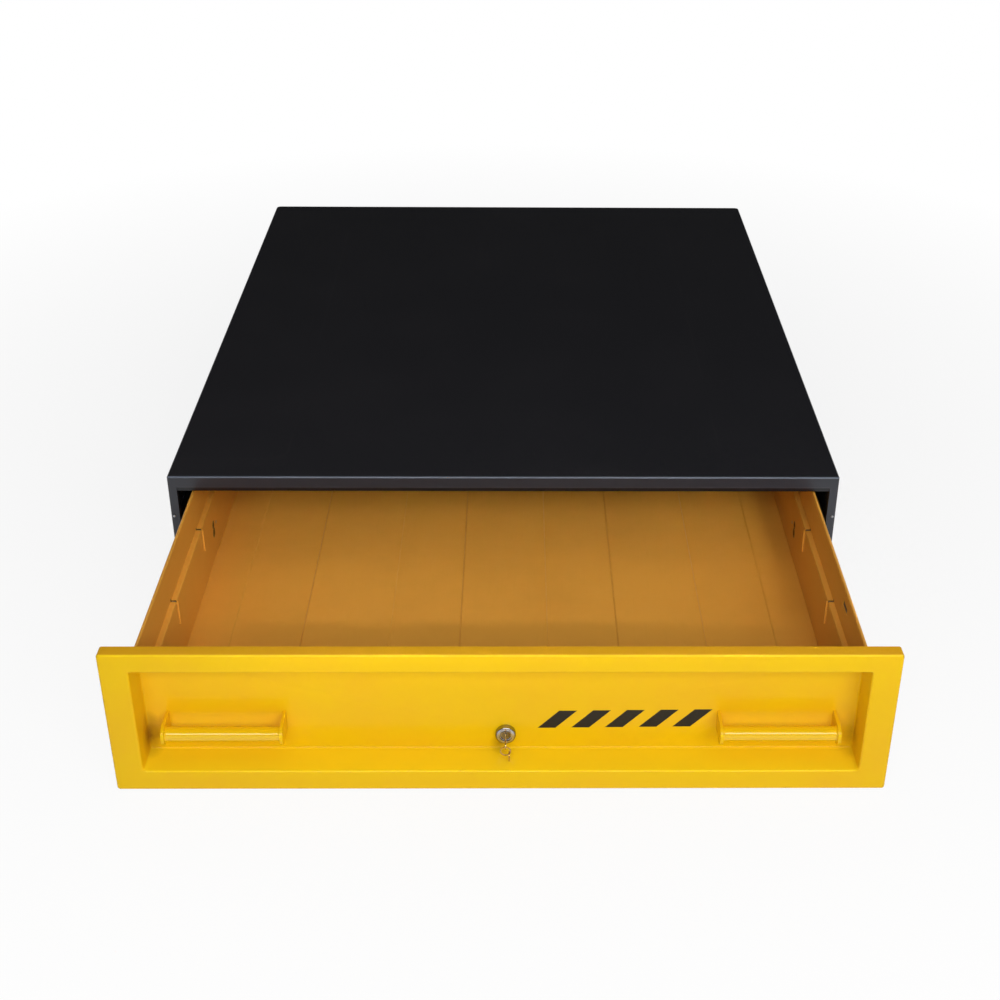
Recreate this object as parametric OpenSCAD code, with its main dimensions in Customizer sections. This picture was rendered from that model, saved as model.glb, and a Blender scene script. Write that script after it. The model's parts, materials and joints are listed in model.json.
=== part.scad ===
// Lockable drawer vault for the load floor of a van.
// A black folded steel case holds one wide drawer on telescopic ball runners.
// The drawer is drawn partly open. X is to the right seen from the front, the
// front faces -Y, and Z is up. The origin is the middle of the four floor bolts.

/* [Case] */
// Outside width of the case
case_w = 1000; // [900:10:1100]
// Outside depth of the case, without the drawer front
case_d = 1200; // [1150:10:1300]
// Outside height of the case
case_h = 220; // [216:1:250]
// Thickness of the case sheet
case_t = 1.5; // [1.2:0.1:2]
// Outside radius of the folds at the top and front edges
case_fold_r = 3; // [2.2:0.1:4]
// Radius of the rear corners seen from above
rear_corner_r = 10; // [6:1:16]
// Distance of the stiffening plates under the top from the centre line
stiff_x = 330; // [200:10:420]
// Distance of the stiffening plates behind the case front
stiff_y = 55; // [40:5:120]
// Radius of the stiffening plates' inner corners
stiff_r = 30; // [5:1:60]
// Thickness of the stiffening plates
stiff_t = 1.5; // [1:0.1:3]
// Height of the flange over the drawer opening
top_flange_h = 18.7; // [14:0.1:22]
// Width of the flange at each side of the drawer opening
side_flange_w = 13; // [10:0.5:16]
// Height of the flange under the drawer opening
sill_h = 19; // [12:0.5:22]
// How far the side flanges fold back into the case
flange_return = 10; // [6:0.5:16]
// Gap between the base's upstands and the runner supports
upstand_gap = 7; // [2:1:12]
// How far the header strip reaches below the case top
header_drop = 26; // [24:0.5:28]
// Depth of the header's lower lip
header_lip = 14; // [8:1:20]
// Distance of the flange rivets from the sill and from the header
flange_rivet_inset = 42; // [30:1:60]
// Distance of the flange rivets from the case's outer edge
flange_rivet_edge = 4.6; // [4.4:0.1:8]
// Diameter of the flange rivets' heads
flange_rivet_d = 4.4; // [4:0.2:8]
// Height of the flange rivets' heads
flange_rivet_h = 1.5; // [1:0.1:2.5]

/* [Floor bolts] */
// Spacing of the bolt holes across the van floor
bolt_space_x = 800; // [600:10:860]
// Spacing of the bolt holes along the van floor
bolt_space_y = 1000; // [700:10:1060]
// Diameter of the bolt holes
bolt_hole_d = 11; // [7:0.5:13]

/* [Drawer box] */
// Thickness of the drawer sheet
drawer_t = 1.5; // [1.2:0.1:2]
// Inside radius of the drawer's folds
drawer_bend_r = 0.5; // [0.4:0.1:1]
// Length of the drawer box
drawer_len = 1150; // [1060:5:1160]
// Gap between the header and the top of the drawer sides
drawer_top_gap = 5; // [4:0.5:12]
// Depth of the ledge below the top of the drawer sides
ledge_drop = 56.5; // [45:0.5:60]
// Width of the ledge that carries the dividers
ledge_w = 8; // [6:0.5:10]
// Space for the runner between the case side and the drawer's lower side
runner_space = 41.5; // [36:0.5:48]
// Height of the drawer floor above the van floor
floor_z = 38; // [37:0.5:42]
// Depth of the bands pressed down into the drawer floor
band_depth = 2; // [1.5:0.1:3]
// Width of each pressed band
band_w = 103; // [80:1:120]
// Distance from the centre line to the middle of the inner bands
band_x = 115; // [100:1:120]
// Spacing of the inner and outer bands
band_space = 230; // [210:1:245]
// How far the folded top edge of the drawer sides reaches down past the window
hem_over = 4; // [2:0.5:8]
// How far the front and rear walls stay below the top of the drawer sides
wall_drop = 6; // [4:0.5:10]
// Depth of the lip along the top of those walls
wall_lip = 12; // [8:1:16]

/* [Divider slots] */
// Distance of the first slot behind the drawer front
slot_first = 198; // [120:1:240]
// Spacing of the slots
slot_pitch = 193; // [100:1:250]
// Width of each slot
slot_w = 3; // [2:0.1:4]
// Height of the tab under each slot, lanced out of the drawer's lower side
tab_h = 39; // [20:1:50]
// How far each tab stands into the drawer
tab_out = 2; // [1.5:0.1:4]
// Distance of the window in the right-hand drawer side behind the drawer front
window_first = 120; // [60:1:160]
// Depth of the window's top below the top of the drawer sides
window_drop = 18; // [14:1:24]
// Length of the window
window_len = 28; // [15:1:40]
// Height of that window
window_h = 10; // [6:0.5:14]

/* [Front panel] */
// Thickness of the panel sheet
panel_t = 1.5; // [1.2:0.1:2]
// Gap between the panel and the case outline at each side
panel_side_gap = 1.5; // [1:0.1:4]
// Gap between the panel and the top of the case
panel_top_gap = 2; // [1:0.1:4]
// Gap under the panel
panel_bottom_gap = 4.3; // [3:0.1:8]
// Depth of the flange round the panel
panel_flange = 19; // [12:0.5:26]
// Radius of the panel's front edges
panel_edge_r = 3; // [2:0.1:4]
// Radius of the panel's corners seen from the front
panel_corner_r = 4; // [3:0.5:8]
// Width of the border beside the recess
border_side = 37; // [37:0.5:50]
// Width of the border above the recess
border_top = 27.2; // [27:0.1:36]
// Width of the border under the recess
border_bottom = 30.7; // [28:0.1:33]
// Depth of the recess
recess_depth = 47.5; // [44:0.5:52]
// Radius along the mouth and the floor of the recess
recess_r = 3; // [2:0.1:4]

/* [Handles] */
// Distance from the centre line to the middle of each handle
handle_x = 357; // [250:1:370]
// Distance between the middles of the two ears
handle_span = 151; // [120:1:170]
// Height of the bar above the recess's lower edge
handle_up = 47.2; // [37:0.1:60]
// Distance of the bar's axis from the recess floor
handle_out = 30; // [26:0.5:31]
// Diameter of the bar
bar_d = 19; // [16:0.5:24]
// Thickness of each ear
ear_t = 4; // [3:0.5:6]
// Half height of each ear
ear_r = 14; // [13:0.5:16]
// Width of the weld between bar and ear
weld_w = 2.5; // [1:0.5:4]

/* [Lock] */
// Offset of the lock from the centre line
lock_x = 4.5; // [-10:0.5:10]
// Height of the lock above the recess's lower edge
lock_up = 25.4; // [25.4:0.1:40]
// Diameter of the lock's face
lock_face_d = 26; // [22:0.5:30]
// How far the lock's face stands out
lock_face_h = 8; // [5:0.5:10]
// Diameter of the lock's threaded barrel
barrel_d = 19; // [16:0.5:20]
// Length of the barrel behind the recess floor
barrel_len = 28; // [24:0.5:34]
// Diameter of the turning plug
plug_d = 12; // [9:0.5:13]
// Length of the cam below the lock's axis
cam_len = 44; // [40:0.5:46]
// Width of the cam
cam_w = 16; // [12:0.5:18]
// Thickness of the cam
cam_t = 3; // [2:0.5:4]
// Diameter of the plug's tail that carries the cam
tail_d = 8; // [6:0.5:9]
// Height of the lock's nuts
nut_h = 5; // [4:0.5:6]
// Space between the cam and the guard box round it
guard_space = 8; // [6:1:12]
// Width of the guard box's screw tabs
guard_tab = 16; // [12:1:20]
// Diameter of the screws in those tabs
screw_d = 5; // [4:0.5:6]
// Clearance between the cam and the keeper
keeper_gap = 1.5; // [0.8:0.1:3]
// Width of the keeper
keeper_w = 48; // [40:2:70]
// Length of the keeper's foot
keeper_foot = 26; // [22:1:34]
// Thickness of the keeper
keeper_t = 3; // [2:0.5:4]
// Diameter of the keeper's bolts
keeper_bolt_d = 6; // [5:1:8]

/* [Keys] */
// Thickness of each key
key_t = 1.6; // [1.2:0.1:2]
// Diameter of the key's head
bow_d = 11; // [10:0.5:14]
// Diameter of the hole in the key's head
bow_hole_d = 4.4; // [4.2:0.1:5]
// Width of the key's blade
blade_w = 5; // [4:0.5:7]
// Distance of the key's hole in front of the lock's face
bow_out = 21; // [17:0.5:23]
// How far the key's blade reaches into the lock
key_in = 12; // [8:0.5:14]
// Diameter of the key ring to the middle of its wire
ring_d = 13; // [10:0.5:14]
// Diameter of the ring's wire
wire_d = 1.4; // [1:0.1:1.5]
// Length of the spare key below its hole
spare_len = 11.6; // [9:0.1:11.6]

/* [Runners] */
// Length of each rail
rail_len = 980; // [900:10:980]
// Height of the outer rail
rail_h = 60; // [58:1:64]
// Thickness of the rails
rail_t = 2; // [1.6:0.1:2.4]
// Depth of the rails' lips
rail_lip = 3; // [2.5:0.1:4]
// Depth of the runner's centre line below the ledge
rail_drop = 46.5; // [44:0.5:48]
// Diameter of the bearing balls
ball_d = 7; // [6:0.5:8]
// Spacing of the balls in their cage
ball_pitch = 39; // [20:1:60]
// Length of each ball cage
cage_len = 470; // [300:5:470]
// Thickness of the ball cages
cage_t = 0.8; // [0.6:0.1:1]
// Running clearance between a ball and its race
race_gap = 0.3; // [0.2:0.05:0.4]
// Depth of the groove that each ball runs in
groove = 0.5; // [0.3:0.1:0.6]
// Diameter of the rivets that hold the rails
rivet_d = 6; // [4:0.5:7]
// Distance of the end rivets from the ends of a rail
rivet_end = 30; // [20:1:60]
// Length of the stop tabs at the ends of the rails
stop_len = 8; // [5:0.5:9]
// Width of the stop tabs
stop_w = 6; // [4:0.5:6]
// How far a stop tab stays off the rail that passes it
stop_gap = 2; // [1:0.1:2.5]
// Height of the supports above and below the outer rails
support_rise = 6; // [4:0.5:10]
// Height of the supports' feet on the case sides
support_foot = 18; // [12:1:24]
// Distance of the runner's adjusting hole and slot from the front of the inner rail
adjust_first = 469; // [440:1:480]
// Diameter of the adjusting hole
adjust_hole_d = 7; // [5:0.5:8]
// Length of the adjusting slot
adjust_slot_h = 10; // [6:0.5:12]
// Width of the adjusting slot
adjust_slot_w = 4.4; // [3:0.2:5]

/* [Opening] */
// How far the drawer stands open in this model
open_now = 426; // [0:1:900]
// Gap between the panel's flange and the case with the drawer shut
shut_gap = 2; // [1.9:0.1:4]

/* [Hidden] */
$fn = 48;
bend_steps = 5;
eps = 0.01;
cut = 1;
fit = 0.2;
clear = 2;

// Case faces
half_w = case_w / 2;
front_y = -case_d / 2;
back_y = case_d / 2;
flange_x = half_w - side_flange_w;
header_z = case_h - header_drop;
lap_y = back_y - 3 * rear_corner_r;

// Drawer levels, from the header down
drawer_top = header_z - drawer_top_gap;
ledge_z = drawer_top - ledge_drop;
low_wall_x = half_w - case_t - runner_space;
up_wall_x = low_wall_x + ledge_w;
hem_step = drawer_t + 2 * drawer_bend_r + 0.1;
hem_h = window_drop + window_h + hem_over;

// Front panel and its recess, with the drawer as it stands
face_y = front_y - shut_gap - panel_flange - open_now;
panel_x = half_w - panel_side_gap;
panel_z0 = panel_bottom_gap;
panel_z1 = case_h - panel_top_gap;
recess_x = panel_x - border_side;
recess_z0 = panel_z0 + border_bottom;
recess_z1 = panel_z1 - border_top;
recess_y = face_y + recess_depth;
wall_y = recess_y + panel_t;
pan_end_y = wall_y + drawer_len;

// Handles and lock
bar_z = recess_z0 + handle_up;
bar_y = recess_y - handle_out;
lock_z = recess_z0 + lock_up;
cam_y = recess_y + barrel_len;
bow_y = recess_y - lock_face_h - bow_out;
nut_across = 1.42 * barrel_d;
guard_x0 = lock_x - nut_across / 2 / cos(30) - guard_space / 2;
guard_x1 = lock_x + cam_len + guard_space;
guard_y = cam_y + cam_t + nut_h + guard_space;
guard_z = lock_z + nut_across / 2 + guard_space / 2;
guard_screw_xs = [guard_x0 - guard_tab / 2, guard_x1 + guard_tab / 2];
keeper_y = cam_y + open_now - keeper_gap;
ring_z = lock_z - (bow_hole_d - wire_d) / 2 + fit / 2 - ring_d / 2;

// Runner section: u runs from the case side to the drawer, w up from the centre line
web_gap = cage_t + 1.2;
cage_edge = 0.9;
rail_bend_r = 0.8;
race_r = ball_d / 2 + race_gap;
flange_gap = ball_d - 2 * groove;
u_mid = rail_t + web_gap;
u_ball_out = 2 * (rail_t + web_gap);
u_ball_in = u_ball_out + ball_d / 2;
u_lip_out = u_ball_out + ball_d / 2 + 1.5;
u_lip_mid = u_ball_in + ball_d / 2 + 0.5;
u_inner = u_lip_mid + 1.5;
rail_depth = u_inner + rail_t;
u_cage_out = rail_t + web_gap / 2;
u_cage_out_end = u_ball_out + ball_d / 2 + cage_edge;
u_cage_in = u_mid + rail_t + web_gap / 2;
u_cage_in_end = u_ball_in + ball_d / 2 + cage_edge;
w_out = rail_h / 2;
w_mid = w_out - rail_t - flange_gap;
w_in = w_mid - rail_t - flange_gap;
w_ball_out = w_mid + flange_gap / 2;
w_ball_in = w_in + flange_gap / 2;
rail_z = ledge_z - rail_drop;
rail_back_x = low_wall_x + rail_depth;
support_h = w_out + support_rise;
upstand_z = rail_z - support_h - support_foot - upstand_gap;

// Places along the runner: each stage moves its own share of the drawer's travel
rail_front_shut = wall_y + open_now + clear;
rail_front_now = rail_front_shut - open_now;
middle_share = 0.5;
outer_cage_share = middle_share / 2;
inner_cage_share = (1 + middle_share) / 2;
cage_front_shut = rail_front_shut + (rail_len - cage_len) / 2;
cage_balls = floor((cage_len - 2 * ball_d) / ball_pitch) + 1;
rivet_ys = [rivet_end, rail_len / 2, rail_len - rivet_end];

// Unit vector
function unit(v) = v / norm(v);
// Vector a quarter turn to the left
function left_of(v) = [-v.y, v.x];
// Vector turned by an angle
function turned(v, a) = [v.x * cos(a) - v.y * sin(a), v.x * sin(a) + v.y * cos(a)];
// List in the other order
function reversed(list) = [for (i = [len(list) - 1 : -1 : 0]) list[i]];
// A right-hand half path continued from its mirror image
function both_halves(path) = concat([for (q = reversed(path)) [-q.x, q.y]], path);

// One side of a sheet folded along a path: side is 1 on the path's left and -1 on its right.
// Every corner becomes an arc round one centre, at the inside radius plus half the sheet.
function fold_side(path, t, r, side) = [
    for (i = [0 : len(path) - 1])
        let (last = len(path) - 1,
             a = unit(path[max(i, 1)] - path[max(i, 1) - 1]),
             b = unit(path[min(i + 1, last)] - path[min(i + 1, last) - 1]),
             turn = atan2(cross(a, b), a * b),
             way = sign(turn),
             rc = r + t / 2,
             centre = path[i] - a * rc * tan(abs(turn) / 2) + way * left_of(a) * rc)
        each (way == 0
            ? [path[i] + side * left_of(a) * t / 2]
            : [for (n = [0 : bend_steps])
                centre + turned(-way * left_of(a), turn * n / bend_steps) * (rc - side * way * t / 2)])
];

// Outline of a sheet of thickness t folded along a path with inside radius r
module folded(path, t, r) {
    polygon(concat(fold_side(path, t, r, 1), reversed(fold_side(path, t, r, -1))));
}

// Extrusions of an outline drawn as X-Z, Y-Z and X-Y
module along_y(y0, y1) {
    translate([0, y1, 0]) rotate([90, 0, 0]) linear_extrude(y1 - y0) children();
}
module along_x(x0, x1) {
    translate([x0, 0, 0]) rotate([90, 0, 90]) linear_extrude(x1 - x0) children();
}
module along_z(z0, z1) {
    translate([0, 0, z0]) linear_extrude(z1 - z0) children();
}

// Box between two corners
module block(low, high) {
    translate(low) cube(high - low);
}

// Right-hand shape, or its mirror image for the left
module on_side(side) {
    if (side > 0) children();
    else mirror([1, 0, 0]) children();
}

// Rectangle with its own radius at each corner: lower left, lower right, upper right, upper left
module plate(x0, x1, y0, y1, radii) {
    corners = [[x0, y0, 1, 1], [x1, y0, -1, 1], [x1, y1, -1, -1], [x0, y1, 1, -1]];
    difference() {
        translate([x0, y0]) square([x1 - x0, y1 - y0]);
        for (i = [0 : 3])
            if (radii[i] > 0)
                let (c = corners[i], r = radii[i])
                    translate([c[0], c[1]]) corner_waste(c[2], c[3], r);
    }
}

// What a round corner takes off a square one
module corner_waste(sx, sy, r) {
    difference() {
        translate([min(0, sx * r) - (sx > 0 ? cut : 0), min(0, sy * r) - (sy > 0 ? cut : 0)])
            square(r + cut);
        translate([sx * r, sy * r]) circle(r);
    }
}

// Outside of the case, drawn in by g on the faces that the sheet forms
module case_skin(g) {
    r = case_fold_r - g;
    low = g > 0 ? -cut : 0;
    rear = g > 0 ? back_y + cut : back_y;
    rear_r = g > 0 ? 0 : rear_corner_r;
    intersection() {
        along_y(front_y + g, rear) plate(-half_w + g, half_w - g, low, case_h - g, [0, 0, r, r]);
        along_x(-half_w + g, half_w - g) plate(front_y + g, rear, low, case_h - g, [0, 0, 0, r]);
        along_z(low, case_h - g)
            plate(-half_w + g, half_w - g, front_y + g, rear, [r, r, rear_r, rear_r]);
    }
}

// Top, both sides and the flanges round the opening, folded from one sheet
module case_cover() {
    color("#1c1d20") {
        difference() {
            case_skin(0);
            case_skin(case_t);
            block([-flange_x, front_y - cut, -cut],
                  [flange_x, front_y + case_t + cut, case_h - top_flange_h]);
            block([-half_w - cut, back_y - rear_corner_r, -cut],
                  [half_w + cut, back_y + cut, case_h - case_t]);
        }
        for (side = [-1, 1])
            on_side(side)
                block([flange_x, front_y, case_t],
                      [flange_x + case_t, front_y + flange_return, case_h - top_flange_h]);
    }
}

// Floor tray of the case with the sill, the upstands and the four bolt holes
module case_base() {
    inner_x = half_w - case_t;
    color("#1c1d20") difference() {
        union() {
            intersection() {
                block([-inner_x, front_y + case_t, 0], [inner_x, back_y, case_t]);
                case_skin(0);
                case_skin(case_t);
            }
            block([-flange_x, front_y, 0], [flange_x, front_y + case_t, sill_h]);
            block([-flange_x + fit, front_y, 0], [flange_x - fit, front_y + 2 * case_t, case_t]);
            for (side = [-1, 1])
                on_side(side)
                    block([inner_x - case_t, front_y + flange_return + clear, 0],
                          [inner_x, lap_y - fit, upstand_z]);
            block([-inner_x + 2 * rear_corner_r, back_y - 2 * case_t, 0],
                  [inner_x - 2 * rear_corner_r, back_y - case_t, upstand_z]);
        }
        for (sx = [-1, 1], sy = [-1, 1])
            translate([sx * bolt_space_x / 2, sy * bolt_space_y / 2, -cut])
                cylinder(h = case_t + 2 * cut, d = bolt_hole_d);
    }
}

// Rear wall, folded round both rear corners and lapped inside the case sides
module case_back() {
    x = half_w - case_t - case_t / 2;
    color("#1c1d20") difference() {
        along_z(case_t, case_h - case_t)
            folded(both_halves([[x, back_y - case_t / 2], [x, lap_y]]), case_t, rear_corner_r - case_t);
        for (side = [-1, 1])
            on_side(side)
                block([half_w - 2 * case_t - cut, lap_y - cut, case_h - case_fold_r],
                      [half_w, back_y - rear_corner_r, case_h]);
    }
}

// Strip that closes the gap over the drawer, with its lower lip folded back
module front_header() {
    y = front_y + case_t + case_t / 2;
    color("#1c1d20") along_x(-flange_x, flange_x)
        folded([[y, case_h - case_fold_r - fit], [y, header_z + case_t / 2],
                [y + header_lip, header_z + case_t / 2]], case_t, case_t / 2);
}

// Plate welded under the case top along one side
module top_stiffener(side) {
    top = case_h - case_t;
    color("#1c1d20") on_side(side) along_z(top - stiff_t, top)
        plate(stiff_x, half_w - case_t - case_fold_r, front_y + stiff_y, lap_y - clear,
              [stiff_r, 0, 0, stiff_r]);
}

// Round-headed rivets in the side flanges
module front_flange_rivets() {
    dome_r = (pow(flange_rivet_d / 2, 2) + pow(flange_rivet_h, 2)) / (2 * flange_rivet_h);
    color("#c9ccd0")
        for (side = [-1, 1], z = [header_z - flange_rivet_inset, sill_h + flange_rivet_inset])
            translate([side * (half_w - flange_rivet_edge), front_y, z]) rotate([90, 0, 0]) {
                difference() {
                    translate([0, 0, flange_rivet_h - dome_r]) sphere(dome_r);
                    translate([0, 0, -2 * dome_r]) cube(4 * dome_r, center = true);
                }
            }
}

// Top-hat section that carries the outer rail on the case side
module runner_support(side) {
    x_wall = half_w - case_t - case_t / 2;
    x_rail = rail_back_x + case_t / 2;
    h = support_h;
    foot = h + support_foot;
    color("#1c1d20") on_side(side) difference() {
        along_y(rail_front_shut - support_rise, rail_front_shut + rail_len + support_rise)
            translate([0, rail_z])
                folded([[x_wall, foot], [x_wall, h], [x_rail, h],
                        [x_rail, -h], [x_wall, -h], [x_wall, -foot]], case_t, case_t);
        for (y = rivet_ys) translate([rail_back_x, rail_front_shut + y, rail_z]) flush_rivet(0.05);
    }
}

// Rail outline placed on the right-hand runner
module on_runner() {
    translate([rail_back_x, rail_z]) mirror([1, 0]) children();
}

// Races for both rows of balls of one stage
module races(u, w) {
    for (s = [-1, 1]) translate([u, s * w]) circle(race_r);
}

// Rail folded as a channel: web at u_web, flanges at height w out to u_end, and lips turned in
module outer_rail_section() {
    u_web = rail_t / 2;
    w = w_out - rail_t / 2;
    u_lip = u_lip_out + rail_t / 2;
    difference() {
        folded([[u_lip, w - rail_lip], [u_lip, w], [u_web, w],
                [u_web, -w], [u_lip, -w], [u_lip, -w + rail_lip]], rail_t, rail_bend_r);
        races(u_ball_out, w_ball_out);
    }
}

module middle_rail_section() {
    u_web = u_mid + rail_t / 2;
    w = w_mid - rail_t / 2;
    u_lip = u_lip_mid + rail_t / 2;
    difference() {
        folded([[u_lip, w - rail_lip], [u_lip, w], [u_web, w],
                [u_web, -w], [u_lip, -w], [u_lip, -w + rail_lip]], rail_t, rail_bend_r);
        races(u_ball_out, w_ball_out);
        races(u_ball_in, w_ball_in);
    }
}

module inner_rail_section() {
    u_web = u_inner + rail_t / 2;
    w = w_in - rail_t / 2;
    difference() {
        folded([[u_ball_out, w], [u_web, w], [u_web, -w], [u_ball_out, -w]], rail_t, rail_bend_r);
        races(u_ball_in, w_ball_in);
    }
}

// Countersunk hole for a flush rivet, from u = 0 towards the case
module flush_rivet(grow) {
    r = rivet_d / 2 + grow;
    rotate([0, 90, 0]) {
        translate([0, 0, -rail_t]) cylinder(h = rail_t + case_t, r = r);
        translate([0, 0, -rail_t]) cylinder(h = rail_t / 2, r1 = 1.6 * r, r2 = r);
    }
}

// Tabs across both ball channels, which catch the ball cage at the end of its travel
module stop_tabs(y, u, w0, w1) {
    along_y(y, y + stop_len) on_runner()
        for (w = [w0, -w1]) translate([u - stop_w / 2, w]) square([stop_w, w1 - w0]);
}

module outer_rail(side) {
    color("#b9bcc0") on_side(side) difference() {
        union() {
            along_y(rail_front_shut, rail_front_shut + rail_len) on_runner() outer_rail_section();
            stop_tabs(rail_front_shut, u_ball_out, w_mid + stop_gap, w_out - rail_t / 2);
        }
        for (y = rivet_ys) translate([rail_back_x, rail_front_shut + y, rail_z]) flush_rivet(0.05);
    }
}

module outer_rail_rivets() {
    color("#c9ccd0")
        for (side = [-1, 1], y = rivet_ys)
            on_side(side) translate([rail_back_x, rail_front_shut + y, rail_z]) flush_rivet(0);
}

module middle_rail(side) {
    y = rail_front_shut - middle_share * open_now;
    color("#b9bcc0") on_side(side) {
        along_y(y, y + rail_len) on_runner() middle_rail_section();
        stop_tabs(y, u_ball_in, w_in + stop_gap, w_mid - rail_t / 2);
        stop_tabs(y + rail_len - stop_len, u_ball_out, w_mid - rail_t / 2, w_out - rail_t - stop_gap);
    }
}

// The hole and the upright slot through the drawer's lower side and the inner rail
module adjuster_cuts() {
    deep = 2 * (drawer_t + rail_t);
    translate([low_wall_x - deep / 2, rail_front_now + adjust_first, rail_z]) {
        translate([0, 0, adjust_hole_d - fit]) rotate([0, 90, 0]) cylinder(h = deep, d = adjust_hole_d);
        translate([0, -adjust_slot_w / 2, -clear - adjust_slot_h])
            cube([deep, adjust_slot_w, adjust_slot_h]);
    }
}

module inner_rail(side) {
    y = rail_front_now;
    color("#b9bcc0") on_side(side) difference() {
        union() {
            along_y(y, y + rail_len) on_runner() inner_rail_section();
            stop_tabs(y + rail_len - stop_len, u_ball_in, w_in - rail_t / 2, w_mid - rail_t - stop_gap);
        }
        adjuster_cuts();
        for (p = rivet_ys)
            translate([low_wall_x, y + p, rail_z]) rotate([0, 90, 0])
                cylinder(h = 3 * rail_t, d = rivet_d + 0.1, center = true);
    }
}

module inner_rail_rivets() {
    head_h = 2.5;
    color("#c9ccd0")
        for (side = [-1, 1], p = rivet_ys)
            on_side(side) translate([low_wall_x, rail_front_now + p, rail_z])
                rotate([0, 90, 0]) {
                    translate([0, 0, -drawer_t]) cylinder(h = drawer_t + rail_t, d = rivet_d);
                    translate([0, 0, rail_t]) cylinder(h = head_h, r1 = rivet_d * 0.8, r2 = rivet_d * 0.6);
                }
}

// Ball cage: a thin channel between two rails with a hole round each ball
module ball_cage(side, share, u_web, u_end, u_ball, w_ball) {
    y = cage_front_shut - share * open_now;
    hole_gap = 0.2;
    color("#8d9095") on_side(side) difference() {
        along_y(y, y + cage_len) on_runner()
            folded([[u_end, w_ball], [u_web, w_ball], [u_web, -w_ball], [u_end, -w_ball]],
                   cage_t, cage_t / 2);
        for (i = [0 : cage_balls - 1], s = [-1, 1])
            translate([rail_back_x - u_ball, y + ball_d + i * ball_pitch, rail_z + s * w_ball])
                cylinder(h = 4 * cage_t, r = ball_d / 2 + hole_gap, center = true);
    }
}

module cage_balls(side, share, u_ball, w_ball) {
    y = cage_front_shut - share * open_now;
    color("#d8dadd") on_side(side)
        for (i = [0 : cage_balls - 1], s = [-1, 1])
            translate([rail_back_x - u_ball, y + ball_d + i * ball_pitch, rail_z + s * w_ball])
                sphere(d = ball_d);
}

module outer_ball_cage(side) {
    ball_cage(side, outer_cage_share, u_cage_out, u_cage_out_end, u_ball_out, w_ball_out);
}
module inner_ball_cage(side) {
    ball_cage(side, inner_cage_share, u_cage_in, u_cage_in_end, u_ball_in, w_ball_in);
}
module outer_balls(side) {
    cage_balls(side, outer_cage_share, u_ball_out, w_ball_out);
}
module inner_balls(side) {
    cage_balls(side, inner_cage_share, u_ball_in, w_ball_in);
}

// Right-hand half of the drawer's section, from the middle of the floor to the hem
function band_path(x) = let (z = floor_z - drawer_t / 2, b = band_w / 2) [
    [x - b - band_depth / 2, z], [x - b + band_depth / 2, z - band_depth],
    [x + b - band_depth / 2, z - band_depth], [x + b + band_depth / 2, z]
];
function side_path() = let (x = up_wall_x - drawer_t / 2, z = drawer_top - drawer_t / 2) [
    [x, ledge_z - drawer_t / 2], [x, z], [x + hem_step, z], [x + hem_step, z - hem_h]
];
function pan_half() = concat(
    band_path(band_x), band_path(band_x + band_space),
    [[low_wall_x - drawer_t / 2, floor_z - drawer_t / 2],
     [low_wall_x - drawer_t / 2, ledge_z - drawer_t / 2]],
    side_path()
);

// Floor, sides and ledges folded from one sheet, with the divider slots and their tabs
module drawer_pan() {
    slots = floor((drawer_len - slot_first - slot_w) / slot_pitch) + 1;
    color("#c98a22") difference() {
        union() {
            along_y(wall_y, pan_end_y) folded(both_halves(pan_half()), drawer_t, drawer_bend_r);
            for (side = [-1, 1])
                on_side(side) along_y(face_y + panel_t, wall_y)
                    intersection() {
                        folded(concat([[low_wall_x, ledge_z - drawer_t / 2]], side_path()),
                               drawer_t, drawer_bend_r);
                        translate([up_wall_x - drawer_t, ledge_z])
                            square([hem_step + drawer_t + cut, ledge_drop + cut]);
                    }
            at_slots(slots)
                block([low_wall_x - drawer_t - tab_out, slot_w / 2, ledge_z - tab_h],
                      [low_wall_x - drawer_t / 2, slot_w / 2 + drawer_t, ledge_z - drawer_t]);
        }
        at_slots(slots) {
            block([low_wall_x - 2 * drawer_t, -slot_w / 2, ledge_z - 2 * drawer_t],
                  [up_wall_x - 2 * drawer_t, slot_w / 2, ledge_z + drawer_t]);
            block([low_wall_x - 2 * drawer_t, slot_w / 2 - tab_out, ledge_z - tab_h],
                  [low_wall_x + drawer_t, slot_w / 2, ledge_z]);
        }
        translate([up_wall_x - 2 * drawer_t, wall_y + window_first, drawer_top - window_drop - window_h])
            cube([2.5 * drawer_t, window_len, window_h]);
        for (side = [-1, 1]) on_side(side) adjuster_cuts();
        for (side = [-1, 1], p = rivet_ys)
            on_side(side) translate([low_wall_x, rail_front_now + p, rail_z])
                rotate([0, 90, 0]) cylinder(h = 3 * drawer_t, d = rivet_d + 0.1, center = true);
        cam_slot();
    }
}

// Places of the divider slots along both sides
module at_slots(slots) {
    for (side = [-1, 1], i = [0 : slots - 1])
        on_side(side) translate([0, wall_y + slot_first + i * slot_pitch, 0]) children();
}

// Slot in the drawer floor that the cam turns down through
module cam_slot() {
    reach = sqrt(cam_len * cam_len - pow(lock_z - floor_z, 2)) + cam_w / 2;
    block([lock_x - cam_w / 2 - clear, cam_y - clear, floor_z - 2 * drawer_t],
          [lock_x + reach, cam_y + cam_t + clear, floor_z + drawer_t]);
}

// Outline of the space between the drawer sides
module between_sides(z1) {
    low = low_wall_x - drawer_t - fit;
    up = up_wall_x - drawer_t - fit;
    plate(-low, low, floor_z, z1, [drawer_bend_r, drawer_bend_r, 0, 0]);
    translate([-up, ledge_z + fit]) square([2 * up, z1 - ledge_z - fit]);
}

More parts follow.
